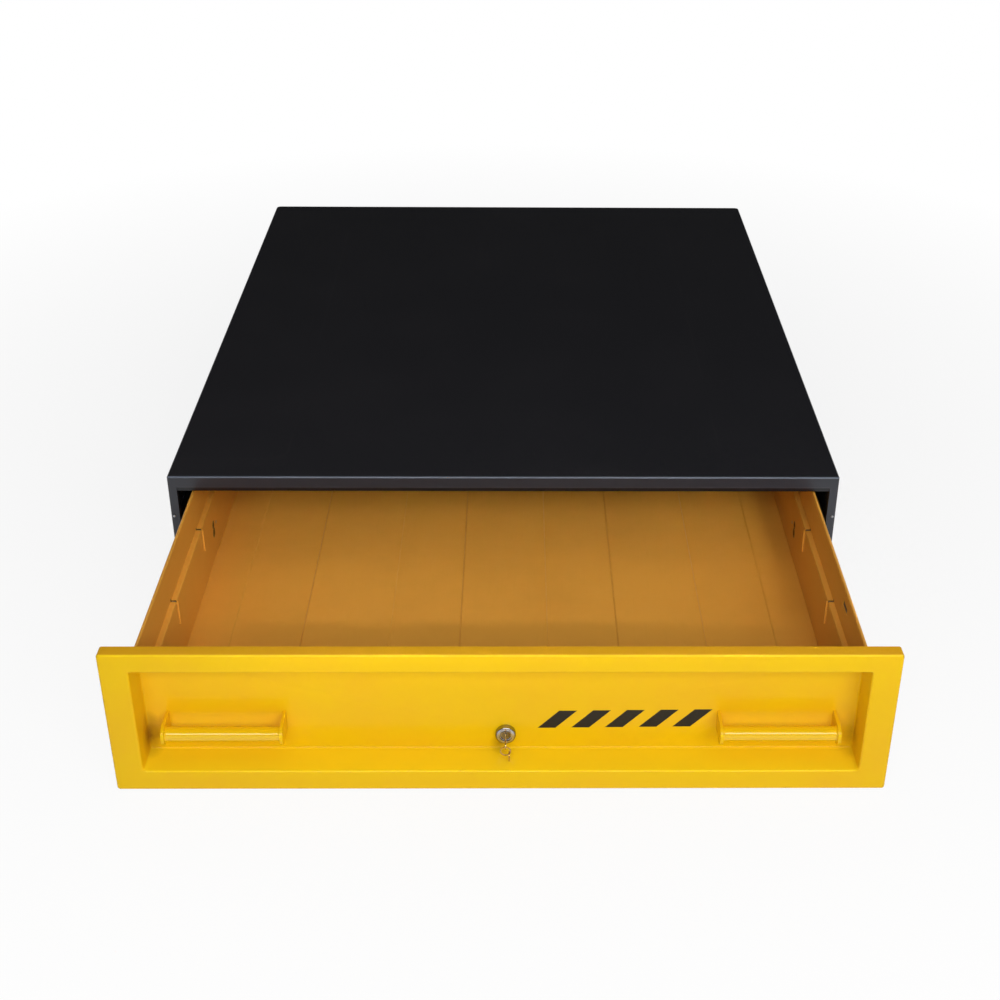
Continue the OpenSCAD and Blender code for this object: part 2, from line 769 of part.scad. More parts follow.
// Inner front wall of the drawer, welded to the back of the recess
module drawer_front_wall() {
    z1 = recess_z1 - wall_drop;
    up = up_wall_x - drawer_t - fit;
    color("#c98a22") difference() {
        union() {
            along_y(wall_y, wall_y + drawer_t) between_sides(z1);
            block([-up, wall_y, z1 - drawer_t], [up, wall_y + wall_lip, z1]);
        }
        translate([lock_x, wall_y, lock_z]) rotate([90, 0, 0])
            cylinder(h = 4 * drawer_t, d = barrel_d + 0.2, center = true);
    }
}

// Rear wall of the drawer with a stiffening lip along its top
module drawer_back() {
    z1 = drawer_top - wall_drop;
    up = up_wall_x - drawer_t - fit;
    color("#c98a22") {
        along_y(pan_end_y - drawer_t, pan_end_y) between_sides(z1);
        block([-up, pan_end_y - wall_lip, z1 - drawer_t], [up, pan_end_y, z1]);
    }
}

// Outside of the front panel, drawn in by g on the faces that the sheet forms
module panel_skin(g) {
    r = panel_edge_r - g;
    c = panel_corner_r - g;
    y1 = face_y + panel_flange + (g > 0 ? cut : 0);
    x = panel_x - g;
    z0 = panel_z0 + g;
    z1 = panel_z1 - g;
    intersection() {
        along_y(face_y + g, y1) plate(-x, x, z0, z1, [c, c, c, c]);
        along_x(-x, x) plate(face_y + g, y1, z0, z1, [r, 0, 0, r]);
        along_z(z0, z1) plate(-x, x, face_y + g, y1, [r, r, 0, 0]);
    }
}

// Section of the recess: lower side at its mouth, rounded floor corners and a flared mouth
module recess_section(x0, x1, y0, y1, floor_r, mouth_r) {
    plate(x0, x1, y0 - cut, y1, [0, 0, floor_r, floor_r]);
    if (mouth_r > 0)
        for (flare = [[x0, -1], [x1, 1]])
            difference() {
                translate([flare[0] - (flare[1] < 0 ? mouth_r : eps), y0 - cut])
                    square([mouth_r + eps, mouth_r + cut]);
                translate([flare[0] + flare[1] * mouth_r, y0 + mouth_r]) circle(mouth_r);
            }
}

// The recess, grown by g for the outside of its sheet
module recess(g, mouth_r) {
    x = recess_x + g;
    z0 = recess_z0 - g;
    z1 = recess_z1 + g;
    y0 = face_y + g / 2;
    y1 = recess_y + g;
    wide = mouth_r + cut;
    intersection() {
        along_z(z0 - wide, z1 + wide) recess_section(-x, x, y0, y1, recess_r + g, mouth_r);
        along_x(-x - wide, x + wide)
            mirror([1, -1]) recess_section(z0, z1, y0, y1, recess_r + g, mouth_r);
    }
}

// Drawer front: a flanged panel with a deep pressed recess
module front_panel() {
    color("#f2c013") difference() {
        union() {
            difference() {
                panel_skin(0);
                panel_skin(panel_t);
            }
            intersection() {
                recess(panel_t, 0);
                block([-half_w, face_y + panel_t / 2, 0], [half_w, wall_y + cut, case_h]);
            }
        }
        recess(0, recess_r);
        translate([lock_x, wall_y, lock_z]) rotate([90, 0, 0])
            cylinder(h = 6 * panel_t, d = barrel_d + 0.2, center = true);
    }
}

// Bar of a handle with a weld at each end
module handle_bar(side) {
    half = handle_span / 2 - ear_t / 2;
    color("#f2c013") on_side(side) translate([handle_x, bar_y, bar_z]) rotate([0, 90, 0]) {
        cylinder(h = 2 * half, d = bar_d, center = true);
        for (s = [-1, 1])
            translate([0, 0, s * (half - weld_w / 2)])
                cylinder(h = weld_w, d1 = bar_d + (s < 0 ? 2 : 0) * weld_w,
                         d2 = bar_d + (s > 0 ? 2 : 0) * weld_w, center = true);
    }
}

// Ear of a handle, rounded about the bar's axis
module handle_ear(side, place) {
    x = handle_x + place * handle_span / 2;
    color("#f2c013") on_side(side) along_x(x - ear_t / 2, x + ear_t / 2) {
        translate([bar_y, bar_z - ear_r]) square([handle_out, 2 * ear_r]);
        translate([bar_y, bar_z]) circle(ear_r);
    }
}

// Lock housing: domed face, flange and threaded barrel with a bore for the plug
module lock_body() {
    rim = 1.5;
    color("#b8babd") translate([lock_x, recess_y, lock_z]) rotate([90, 0, 0]) difference() {
        union() {
            translate([0, 0, -barrel_len + fit]) cylinder(h = barrel_len, d = barrel_d);
            cylinder(h = lock_face_h - rim, d = lock_face_d);
            translate([0, 0, lock_face_h - rim])
                cylinder(h = rim, d1 = lock_face_d, d2 = lock_face_d - 2 * rim);
        }
        translate([0, 0, -barrel_len - cut])
            cylinder(h = barrel_len + lock_face_h + 2 * cut, d = plug_d + 0.1);
        translate([0, 0, lock_face_h - 1.2])
            cylinder(h = 1.2 + cut, d1 = plug_d + 0.1, d2 = plug_d + 6);
    }
}

module hex_nut(across, height, bore) {
    difference() {
        cylinder(h = height, d = across / cos(30), $fn = 6);
        translate([0, 0, -cut]) cylinder(h = height + 2 * cut, d = bore);
    }
}

// Nut that clamps the lock behind the inner front wall
module lock_nut() {
    color("#b8babd") translate([lock_x, wall_y + drawer_t + nut_h, lock_z]) rotate([90, 0, 0])
        hex_nut(nut_across, nut_h, barrel_d + fit);
}

// Turning plug with its keyway and the tail that carries the cam
module lock_plug() {
    slot_t = key_t + 2 * fit;
    slot_w = blade_w + 2 * fit;
    color("#c4c6c8") translate([lock_x, recess_y, lock_z]) rotate([90, 0, 0]) difference() {
        union() {
            translate([0, 0, -barrel_len]) cylinder(h = barrel_len + lock_face_h - 1.4, d = plug_d);
            translate([0, 0, -barrel_len - cam_t - nut_h]) cylinder(h = cam_t + nut_h + cut, d = tail_d);
        }
        translate([-slot_t / 2, -slot_w / 2, lock_face_h - key_in - clear])
            cube([slot_t, slot_w, key_in + clear + cut]);
    }
}

// Cam on the plug's tail: it lies to the right when unlocked and hangs down when locked
module lock_cam() {
    r = cam_t;
    color("#b8babd") along_y(cam_y, cam_y + cam_t) translate([lock_x, lock_z]) difference() {
        union() {
            circle(cam_w / 2);
            plate(0, cam_len, -cam_w / 2, cam_w / 2, [0, r, r, 0]);
        }
        circle((tail_d + fit) / 2);
    }
}

module cam_nut() {
    color("#b8babd") translate([lock_x, cam_y + cam_t + nut_h - fit, lock_z]) rotate([90, 0, 0])
        hex_nut(1.6 * tail_d, nut_h - fit, tail_d + fit);
}

// Guard box inside the drawer that keeps goods off the cam
module lock_cover() {
    y0 = wall_y + drawer_t;
    z0 = floor_z + fit;
    color("#c98a22") difference() {
        union() {
            along_y(y0, guard_y) plate(guard_x0, guard_x1, z0, guard_z, [0, 0, clear, clear]);
            along_y(y0, y0 + drawer_t)
                plate(guard_x0 - guard_tab, guard_x1 + guard_tab, lock_z - guard_tab / 2,
                      lock_z + guard_tab / 2, [clear, clear, clear, clear]);
        }
        block([guard_x0 + drawer_t, y0 - cut, z0 - cut],
              [guard_x1 - drawer_t, guard_y - drawer_t, guard_z - drawer_t]);
        for (x = guard_screw_xs)
            translate([x, y0, lock_z]) rotate([90, 0, 0])
                cylinder(h = 4 * drawer_t, d = screw_d + fit, center = true);
    }
}

module lock_cover_screws() {
    head_h = screw_d / 2;
    color("#c9ccd0")
        for (x = guard_screw_xs)
            translate([x, wall_y + 2 * drawer_t, lock_z]) rotate([90, 0, 0]) {
                cylinder(h = drawer_t, d = screw_d);
                translate([0, 0, -head_h]) cylinder(h = head_h, d1 = 1.4 * screw_d, d2 = 1.9 * screw_d);
            }
}

// Angle on the case floor that the cam drops behind
module lock_keeper() {
    t = keeper_t;
    y = keeper_y - t / 2;
    z = case_t + t / 2;
    color("#1c1d20") difference() {
        translate([lock_x, 0, 0]) along_x(-keeper_w / 2, keeper_w / 2)
            folded([[keeper_y - keeper_foot, z], [y, z], [y, floor_z - 2 * drawer_t - clear]], t, t / 2);
        at_keeper_bolts() cylinder(h = keeper_t + cut, d = keeper_bolt_d + fit);
    }
}

module at_keeper_bolts() {
    for (s = [-1, 1])
        translate([lock_x + s * keeper_w * 0.3, keeper_y - keeper_foot * 0.65, case_t]) children();
}

module keeper_bolts() {
    color("#c9ccd0") at_keeper_bolts() {
        cylinder(h = keeper_t, d = keeper_bolt_d);
        translate([0, 0, keeper_t])
            cylinder(h = 0.65 * keeper_bolt_d, d = 1.67 * keeper_bolt_d / cos(30), $fn = 6);
    }
}

// Flat key outline: the hole is at the origin and the blade points along +x
module key_outline(length) {
    head = bow_d / 2 - bow_hole_d / 2 - 1.6;
    difference() {
        union() {
            translate([head, 0]) circle(d = bow_d);
            translate([head, -blade_w / 2]) square([length - head - blade_w / 2, blade_w]);
            translate([length - blade_w / 2, 0]) circle(d = blade_w);
        }
        circle(d = bow_hole_d);
        for (x = [length - 0.8 * blade_w : -blade_w / 2 : head + bow_d / 2 + 1])
            translate([x, blade_w / 2]) rotate(45) square(0.22 * blade_w, center = true);
    }
}

// Key in the lock, upright
module key() {
    color("#cfd0d2") along_x(lock_x - key_t / 2, lock_x + key_t / 2)
        translate([bow_y, lock_z]) key_outline(bow_out + key_in);
}

// Wire ring that hangs in the key's hole
module key_ring() {
    color("#cfd0d2") translate([lock_x, bow_y, ring_z]) rotate([90, 0, 0])
        rotate_extrude() translate([ring_d / 2, 0]) circle(d = wire_d);
}

// Spare key that hangs from the ring's lower right
module spare_key() {
    reach = ring_d / 2 * cos(45);
    color("#cfd0d2") along_x(lock_x + reach - key_t / 2, lock_x + reach + key_t / 2)
        translate([bow_y, ring_z - reach - fit]) rotate(-90) key_outline(spare_len);
}

case_cover();
case_base();
case_back();
front_header();
front_flange_rivets();
top_stiffener(-1);  // left_top_stiffener
top_stiffener(1);  // right_top_stiffener
runner_support(-1);  // left_runner_support
runner_support(1);  // right_runner_support
outer_rail(-1);  // left_outer_rail
outer_rail(1);  // right_outer_rail
outer_rail_rivets();
lock_keeper();
keeper_bolts();
middle_rail(-1);  // left_middle_rail
middle_rail(1);  // right_middle_rail
outer_ball_cage(-1);  // left_outer_ball_cage
outer_ball_cage(1);  // right_outer_ball_cage
outer_balls(-1);  // left_outer_balls
outer_balls(1);  // right_outer_balls
inner_ball_cage(-1);  // left_inner_ball_cage
inner_ball_cage(1);  // right_inner_ball_cage
inner_balls(-1);  // left_inner_balls
inner_balls(1);  // right_inner_balls
inner_rail(-1);  // left_inner_rail
inner_rail(1);  // right_inner_rail
inner_rail_rivets();
drawer_pan();
drawer_front_wall();
drawer_back();
front_panel();
handle_bar(-1);  // left_handle_bar
handle_ear(-1, 1);  // left_handle_outer_ear
handle_ear(-1, -1);  // left_handle_inner_ear
handle_bar(1);  // right_handle_bar
handle_ear(1, 1);  // right_handle_outer_ear
handle_ear(1, -1);  // right_handle_inner_ear
lock_body();
lock_nut();
lock_cover();
lock_cover_screws();
lock_plug();
lock_cam();
cam_nut();
key();
key_ring();
spare_key();
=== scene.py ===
"""Van drawer vault: its paint, plating and small fittings, and the studio that it stands in."""
import json
import math

import bpy
import numpy as np
from mathutils import Matrix, Vector


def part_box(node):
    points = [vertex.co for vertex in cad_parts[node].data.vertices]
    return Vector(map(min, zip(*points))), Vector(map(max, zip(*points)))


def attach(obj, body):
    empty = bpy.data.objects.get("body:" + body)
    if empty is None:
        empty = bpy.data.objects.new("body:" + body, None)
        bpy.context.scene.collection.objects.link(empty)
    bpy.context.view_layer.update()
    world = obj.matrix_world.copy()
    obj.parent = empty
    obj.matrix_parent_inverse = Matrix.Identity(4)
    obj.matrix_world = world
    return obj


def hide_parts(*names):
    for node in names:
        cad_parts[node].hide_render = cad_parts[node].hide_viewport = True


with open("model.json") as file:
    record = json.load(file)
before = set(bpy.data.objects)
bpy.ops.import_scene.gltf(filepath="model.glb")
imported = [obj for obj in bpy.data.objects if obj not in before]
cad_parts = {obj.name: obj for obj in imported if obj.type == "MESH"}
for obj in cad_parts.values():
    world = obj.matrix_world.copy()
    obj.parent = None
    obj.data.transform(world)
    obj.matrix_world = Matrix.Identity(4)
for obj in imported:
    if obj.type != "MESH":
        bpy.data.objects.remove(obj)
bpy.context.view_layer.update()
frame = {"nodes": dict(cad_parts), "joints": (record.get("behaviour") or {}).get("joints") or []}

bl_info = {
    "name": "Van drawer vault",
    "version": (1, 0, 0),
    "blender": (4, 5, 0),
    "location": "3D View > Sidebar > Vault",
    "description": "Finishes and small fittings of a lockable drawer vault for a van floor",
    "category": "Object",
}

MM = 0.001
TAU = 2 * math.pi
X, Y, Z = np.eye(3)


def ends(node):
    """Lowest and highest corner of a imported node, as arrays."""
    return [np.array(end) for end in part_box(node)]


def joint_place(name):
    """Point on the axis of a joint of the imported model."""
    return next(np.array(j["pos_m"]) for j in frame["joints"] if j["name"] == name)


def linear(code):
    """Linear red, green, blue and alpha of an sRGB hex colour."""
    parts = [int(code[i:i + 2], 16) / 255 for i in (1, 3, 5)]
    light = [c / 12.92 if c <= 0.04045 else ((c + 0.055) / 1.055) ** 2.4 for c in parts]
    return (*light, 1.0)


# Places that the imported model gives: the recess's face, the lock and the hole in the key's head
RECESS_Y = ends("left_handle_outer_ear")[1][1]
LOCK = joint_place("key_turn")
BOW = joint_place("key_ring_swing")


def colour_prop(name, description, code):
    return bpy.props.FloatVectorProperty(name=name, description=description, default=linear(code),
                                         subtype="COLOR", size=4, min=0, max=1)


def length_prop(name, description, millimetres):
    return bpy.props.FloatProperty(name=name, description=description, default=millimetres * MM,
                                   unit="LENGTH", precision=4, min=0)


def light_prop(name, description, amount, unit="NONE"):
    return bpy.props.FloatProperty(name=name, description=description, default=amount,
                                   unit=unit, min=0)


class VaultColours(bpy.types.PropertyGroup):
    case: colour_prop("Case", "Black powder coat of the case", "#222226")
    # Dust and rub marks, and also the painted highlight along the front flange's lower edge
    case_dust_and_highlight: colour_prop("Case dust and highlight", "Dust and rub marks on the case", "#3a373a")
    # Painted shade on the header strip under the front flange
    header_painted_shade: colour_prop("Header painted shade", "Header strip in the front flange's shade", "#0c0e12")
    # Painted highlight along the case's front fold
    case_painted_highlight: colour_prop("Case painted highlight", "Black paint rubbed grey along the front fold", "#6c7686")
    front: colour_prop("Front", "Yellow powder coat of the front panel and handles", "#eec10c")
    # Rub marks, and also the painted light tone on the panel's top
    front_rub_and_top_light: colour_prop("Front rub and top light", "Rub marks on the front", "#ecac22")
    # Painted highlights on the panel's folds and painted light on the recess's lower side
    front_painted_light: colour_prop("Front painted light", "Pale yellow of rubbed folds and of dust", "#ffdc20")
    # Painted shade in the recess beside the handles, and a darker spot under the lock
    recess_shade: colour_prop("Recess shade", "Red-brown grime in the corners of the recess", "#5e1f18")
    drawer: colour_prop("Drawer", "Yellow powder coat inside the drawer", "#f4ae45")
    drawer_rub: colour_prop("Drawer rub", "Rub marks inside the drawer", "#d8993c")
    # Painted shade at the adjusting holes, in the divider slots and in the side's window
    drawer_shade: colour_prop("Drawer shade", "Grease round holes and dirt in slots", "#2a1c0c")
    zinc: colour_prop("Zinc", "Bright zinc plate of the runners", "#b9bcc0")
    zinc_stain: colour_prop("Zinc stain", "Duller patches in the zinc plate", "#9a9ca2")
    strip: colour_prop("Strip steel", "Bare steel of the ball cages", "#8f9092")
    bearing: colour_prop("Bearing steel", "Polished steel of the balls", "#c9cacc")
    nickel: colour_prop("Nickel", "Nickel plate of the lock", "#c4c0ba")
    # Painted shade on the lock's lower edge and a painted dark reflection on its plug
    lock_shade: colour_prop("Lock shade", "Dark nickel at the lock's edge and on its plug", "#2e2620")
    key: colour_prop("Key", "Brass of the keys and their ring", "#c39a4a")
    key_plate: colour_prop("Key plate", "What is left of the plating on the keys", "#cfc4a8")
    stripes: colour_prop("Stripes", "Printed film of the stripes", "#231e10")
    floor: colour_prop("Floor", "Studio floor", "#eeeeee")


class VaultSizes(bpy.types.PropertyGroup):
    case_flange: length_prop("Case flange", "Height of the case's front flange", 18.7)
    panel_sheet: length_prop("Panel sheet", "Thickness of the front panel's sheet", 1.5)
    panel_fold: length_prop("Panel fold", "Outside radius of the folds of panel and recess", 3)
    panel_corner: length_prop("Panel corner", "Radius of the panel's corners from the front", 4)
    panel_flange: length_prop("Panel flange", "Depth of the flange round the panel", 19)
    recess_corner: length_prop("Recess corner", "Radius of the recess's lower corners", 6)
    recess_top_corner: length_prop("Recess top corner", "Radius of the recess's upper corners", 2)
    border_side: length_prop("Side border", "Width of the border beside the recess", 37)
    border_top: length_prop("Top border", "Width of the border above the recess", 27.2)
    border_bottom: length_prop("Bottom border", "Width of the border under the recess", 30.7)
    bar: length_prop("Bar", "Diameter of the handle bars", 19)
    weld: length_prop("Weld", "Leg of the weld round each end of a bar", 2.5)
    barrel: length_prop("Barrel", "Diameter of the lock's barrel", 19)
    plug: length_prop("Plug", "Diameter of the bore that the lock's plug turns in", 12.1)
    key_head: length_prop("Key head", "Diameter of a key's head", 11)
    key_hole: length_prop("Key hole", "Diameter of the hole in a key's head", 4.4)
    blade: length_prop("Blade", "Width of a key's blade", 5)
    stripe_first: length_prop("First stripe", "Left end of its foot from the centre line", 46.4)
    stripe_pitch: length_prop("Stripe pitch", "Distance from one stripe to the next", 44)
    stripe_width: length_prop("Stripe width", "Width of each stripe along its foot", 23)
    stripe_slant: length_prop("Stripe slant", "How far a stripe's top leans to the right", 27.8)
    stripe_low: length_prop("Stripe foot", "Height of the first stripe's lower edge", 67.8)
    stripe_high: length_prop("Stripe top", "Height of the first stripe's upper edge", 95.7)
    stripe_rise: length_prop("Stripe rise", "How much higher each stripe lies than the last", 0.5)
    film: length_prop("Film", "Thickness of the printed film", 0.15)
    stripes: bpy.props.IntProperty(name="Stripes", description="How many", default=5, min=1)


class VaultStudio(bpy.types.PropertyGroup):
    key_power: light_prop("Key light", "Power of the wide lamp beside the camera", 74, "POWER")
    strip_power: light_prop("Strip light", "Power of the gridded lamp aimed into the drawer",
                            0.2, "POWER")
    fill_power: light_prop("Fill lights", "Power of each side lamp", 7, "POWER")
    top_power: light_prop("Top light", "Power of the large lamp overhead", 8, "POWER")
    horizon: light_prop("Horizon", "Strength of the pale studio walls near the floor", 0.7)
    ceiling: light_prop("Ceiling", "Strength of the dim studio ceiling", 0.1)
    flags: light_prop("Flags", "Strength of the black flags that glossy paint mirrors", 0.012)


def colours():
    return bpy.context.scene.vault_colours


def sizes():
    return bpy.context.scene.vault_sizes


# Node materials

def add(tree, kind, *values, **named):
    """Add a shader node and give the first output that its settings leave in use.

    Names with a capital are inputs, with _ for a space, and the other names are settings. Values
    without a name fill the inputs in use, in order. An input takes a value or a link.
    """
    node = tree.nodes.new("ShaderNode" + kind)
    for name, value in named.items():
        if name[0].islower():
            setattr(node, name, value)
    filled = list(zip([socket for socket in node.inputs if socket.enabled], values))
    filled += [(node.inputs[k.replace("_", " ")], v) for k, v in named.items() if k[0].isupper()]
    for socket, value in filled:
        if isinstance(value, bpy.types.NodeSocket):
            tree.links.new(value, socket)
        else:
            socket.default_value = value
    return next((socket for socket in node.outputs if socket.enabled), None)


def blank(name):
    """A node material with nothing in it: its tree, and the object coordinates of what it
    covers."""
    material = bpy.data.materials.new(name)
    material.use_nodes = True
    tree = material.node_tree
    tree.nodes.clear()
    return material, tree, add(tree, "TexCoord").node.outputs["Object"]


def surface(material, tree, **inputs):
    """End the tree in one Principled shader with these inputs."""
    add(tree, "OutputMaterial", add(tree, "BsdfPrincipled", **inputs))
    return material


def pattern(tree, place, size_mm, detail=2.0, roughness=0.5, stretch=(1, 1, 1)):
    """Noise with features of a real size, drawn out by stretch along each axis."""
    drawn = add(tree, "Mapping", place, Scale=tuple(1 / s for s in stretch))
    return add(tree, "TexNoise", drawn, Scale=1 / (size_mm * MM), Detail=detail,
               Roughness=roughness)


def largest(tree, value, *others):
    """The largest of several values."""
    for other in others:
        value = add(tree, "Math", value, other, operation="MAXIMUM")
    return value


def spot(tree, place, middle, reach, strength, core=0.0):
    """Spot in the ellipsoid with half axes of reach, in mm: full strength in its core, none at its
    edge."""
    off = add(tree, "VectorMath", place, middle, operation="SUBTRACT")
    off = add(tree, "VectorMath", off, np.array(reach) * MM, operation="DIVIDE")
    away = add(tree, "VectorMath", off, operation="LENGTH")
    return add(tree, "MapRange", away, core, 1.0, strength, 0.0)


def block(tree, place, middle, reach, strength):
    """Patch in the box with half sides of reach, in mm, with an edge 1 mm wide round it."""
    off = add(tree, "VectorMath", place, middle, operation="SUBTRACT")
    off = add(tree, "VectorMath", off, operation="ABSOLUTE")
    over = add(tree, "VectorMath", off, np.array(reach) * MM, operation="SUBTRACT")
    most = largest(tree, *add(tree, "SeparateXYZ", over).node.outputs)
    return add(tree, "MapRange", most, 0.0, 1 * MM, strength, 0.0)


def layered(tree, place, tone, layers):
    """Colour under the layers on it, lowest first: each is a function for its amount, and a
    colour."""
    for amount, colour in layers:
        tone = add(tree, "Mix", amount(tree, place), tone, colour, data_type="RGBA")
    return tone


def coat(name, colour, rubbed, rub, streaks, gloss, peel_mm, specular, marks=None, layers=()):
    """Polyester powder coat: a dry powder sprayed on and baked to a closed film.

    The film is slightly wavy, like orange peel. Rub marks lie along Y, the way that goods slide,
    and marks is a function for more of them, some of them painted light. Painted highlights and
    painted shade lie over them as layers.
    """
    material, tree, place = blank(name)
    # Orange peel: waves of about 2.5 mm, and finer grit of 0.7 mm
    peel = pattern(tree, place, 2.5)
    grit = pattern(tree, place, 0.7, detail=1.0)
    waves = add(tree, "Bump", Height=peel, Distance=peel_mm * MM, Strength=1.0)
    relief = add(tree, "Bump", Height=grit, Distance=0.25 * peel_mm * MM, Strength=1.0,
                 Normal=waves)
    # Clouds of 170 mm where the film was wiped, and rub marks 6 mm wide drawn out along Y
    cloud = pattern(tree, place, 170, detail=5.0, roughness=0.6)
    streak = pattern(tree, place, 6, detail=6.0, roughness=0.7, stretch=(1, 16, 1))
    soil_and_light = add(tree, "Math", add(tree, "MapRange", cloud, 0.45, 0.8, 0.0, rub),
               add(tree, "MapRange", streak, 0.55, 0.8, 0.0, streaks), operation="ADD")
    # marks may add painted light, such as a highlight line or a light tone on a top
    if marks:
        soil_and_light = add(tree, "Math", soil_and_light, marks(tree, place), operation="ADD")
    dull = add(tree, "Math", add(tree, "MapRange", cloud, 0.3, 0.7, -0.01, 0.02),
               add(tree, "MapRange", streak, 0.5, 0.8, 0.0, 0.03), operation="ADD")
    tone = add(tree, "Mix", soil_and_light, colour, rubbed, data_type="RGBA")
    return surface(material, tree, Base_Color=layered(tree, place, tone, layers),
                   Roughness=add(tree, "Math", dull, gloss, operation="ADD"),
                   Specular_IOR_Level=specular, Normal=relief)


def metal(name, colour, stained, gloss, grain_mm, stretch=(1, 1, 1), scratch_mm=0.004, layers=()):
    """Metal with fine grain along one way, and clouds of stain of 22 mm in its skin."""
    material, tree, place = blank(name)
    grain = pattern(tree, place, grain_mm, detail=4.0, roughness=0.65, stretch=stretch)
    cloud = pattern(tree, place, 22, detail=3.0)
    relief = add(tree, "Bump", Height=grain, Distance=scratch_mm * MM, Strength=1.0)
    stain = add(tree, "Math", add(tree, "MapRange", cloud, 0.4, 0.75, 0.0, 0.7),
                add(tree, "MapRange", grain, 0.5, 0.8, 0.0, 0.3), operation="ADD")
    both = add(tree, "Math", grain, cloud, operation="ADD")
    dull = add(tree, "MapRange", both, 0.8, 1.2, -0.04, 0.1)
    tone = add(tree, "Mix", stain, colour, stained, data_type="RGBA")
    return surface(material, tree, Base_Color=layered(tree, place, tone, layers), Metallic=1.0,
                   Roughness=add(tree, "Math", gloss, dull, operation="ADD"), Normal=relief)


# Marks, dust, painted highlights and painted shade: each function gives the amount of it at a
# place

def painted_fold_highlight(tree, place, node, depth, least):
    """Painted highlight on the folds within a depth of a node's front: lighter paint where the
    light glints.

    It is most where the normal lies half up and half to the front, and none where its cosine to
    that way is under the least.
    """
    normal = add(tree, "TexCoord").node.outputs["Normal"]
    half_up = (0, -math.sqrt(0.5), math.sqrt(0.5))
    facing = add(tree, "VectorMath", normal, half_up, operation="DOT_PRODUCT")
    fold = add(tree, "MapRange", facing, least, 0.99, 0.0, 0.75)
    y, end = add(tree, "SeparateXYZ", place).node.outputs["Y"], ends(node)[0][1] + depth
    near = add(tree, "MapRange", y, end, end + 1 * MM, 1.0, 0.0)
    return add(tree, "Math", fold, near, operation="MULTIPLY")


def case_painted_fold_highlight(tree, place):
    """Painted highlight along the front fold of the case's top."""
    return painted_fold_highlight(tree, place, "case_cover", 1 * MM, 0.67)


def panel_painted_fold_highlight(tree, place):
    """Painted highlight along the panel's upper edge and the lower edge of its recess."""
    return painted_fold_highlight(tree, place, "front_panel", 5 * MM, 0.88)


def beside_flange(tree, place, behind, above, reach, strength):
    """Strip along the lower edge of the case's front flange. Its middle lies behind and above that
    edge, and reach holds half its depth and half its height, all in mm."""
    half_width = 486
    (_, front, _), (_, _, top) = ends("case_cover")
    middle = (0, front + behind * MM, top - sizes().case_flange + above * MM)
    return block(tree, place, middle, (half_width, *reach), strength)


def header_shade(tree, place):
    """Shade on the header's strip under the front flange."""
    return beside_flange(tree, place, 2.25, -3.4, (0.75, 4.4), 0.85)


def case_marks(tree, place):
    """Faint lines where the stiffeners under the top show through, as narrow bands round their
    outlines, dust on the top, and a painted highlight along the lower edge of the front flange.

    Each outline runs along Y beside the middle and turns out to the side near the front.
    """
    line_x, line_y = ends("right_top_stiffener")[0][:2]
    turn_r = 30 * MM
    x, y, _ = add(tree, "SeparateXYZ", place).node.outputs
    from_middle = add(tree, "Math", x, operation="ABSOLUTE")
    to_side = add(tree, "Math", line_x + turn_r, from_middle, operation="SUBTRACT")
    to_rear = add(tree, "Math", line_y + turn_r, y, operation="SUBTRACT")
    corner = add(tree, "CombineXYZ", largest(tree, to_side, 0.0), largest(tree, to_rear, 0.0))
    distance = add(tree, "VectorMath", corner, operation="LENGTH")
    off = add(tree, "Math", distance, turn_r, operation="SUBTRACT")
    off = add(tree, "Math", off, operation="ABSOLUTE")
    line = add(tree, "MapRange", off, 0.6 * MM, 2.2 * MM, 0.3, 0.0)
    broken = add(tree, "MapRange", pattern(tree, place, 60), 0.35, 0.6)
    outline = add(tree, "Math", line, broken, operation="MULTIPLY")
    # Dust lies thicker towards the front left corner
    front = add(tree, "MapRange", y, 500 * MM, -600 * MM, 0.0, 0.14)
    left = add(tree, "MapRange", x, 300 * MM, -500 * MM, 0.4, 1.0)
    dust = add(tree, "Math", front, left, operation="MULTIPLY")
    # Painted highlight: a light line along the lower edge of the front flange
    edge = beside_flange(tree, place, 0, 0.4, (0.5, 0.3), 1.0)
    return largest(tree, add(tree, "Math", outline, dust, operation="ADD"), edge)


def panel_top_painted_light(tree, place):
    """Painted light tone on top of the front panel, which faces up, in the rub colour."""
    top = ends("front_panel")[1][2]
    z = add(tree, "SeparateXYZ", place).node.outputs["Z"]
    return add(tree, "MapRange", z, top - 1.2 * MM, top - 0.3 * MM, 0.0, 0.9)


def ledge_painted_light(tree, place):
    """Painted light on the recess's lower side, which faces up and is paler where more light
    falls.

    It ends 1 mm before the sides of the recess and 2 mm behind its mouth.
    """
    s = sizes()
    left, front, low = ends("front_panel")[0]
    middle = (0, (front + RECESS_Y) / 2, low + s.border_bottom - 1 * MM)
    half_width, half_depth = -(left + s.border_side) / MM, (RECESS_Y - front) / 2 / MM
    return block(tree, place, middle, (half_width - 1, half_depth - 2, 3), 0.7)


def recess_shade_and_lock_spot(tree, place):
    """Painted shade in the rear corners of the recess beside the handles, where the outer ears
    shade the side walls, thicker on the left, and a darker spot under the lock."""
    recess_x = ends("front_panel")[1][0] - sizes().border_side
    mirrored = add(tree, "VectorMath", place, operation="ABSOLUTE")
    beside = spot(tree, mirrored, (recess_x, -RECESS_Y, 60 * MM), (26, 32, 38), 0.85)
    x = add(tree, "SeparateXYZ", place).node.outputs["X"]
    left = add(tree, "MapRange", x, -300 * MM, 300 * MM, 1.0, 0.55)
    beside = add(tree, "Math", beside, left, operation="MULTIPLY")
    under = spot(tree, place, LOCK + np.array([-7, 8, -18]) * MM, (15, 16, 15), 0.45)
    broken = add(tree, "MapRange", pattern(tree, place, 12, detail=3.0), 0.3, 0.7, 0.7, 1.1)
    return add(tree, "Math", largest(tree, beside, under), broken, operation="MULTIPLY")


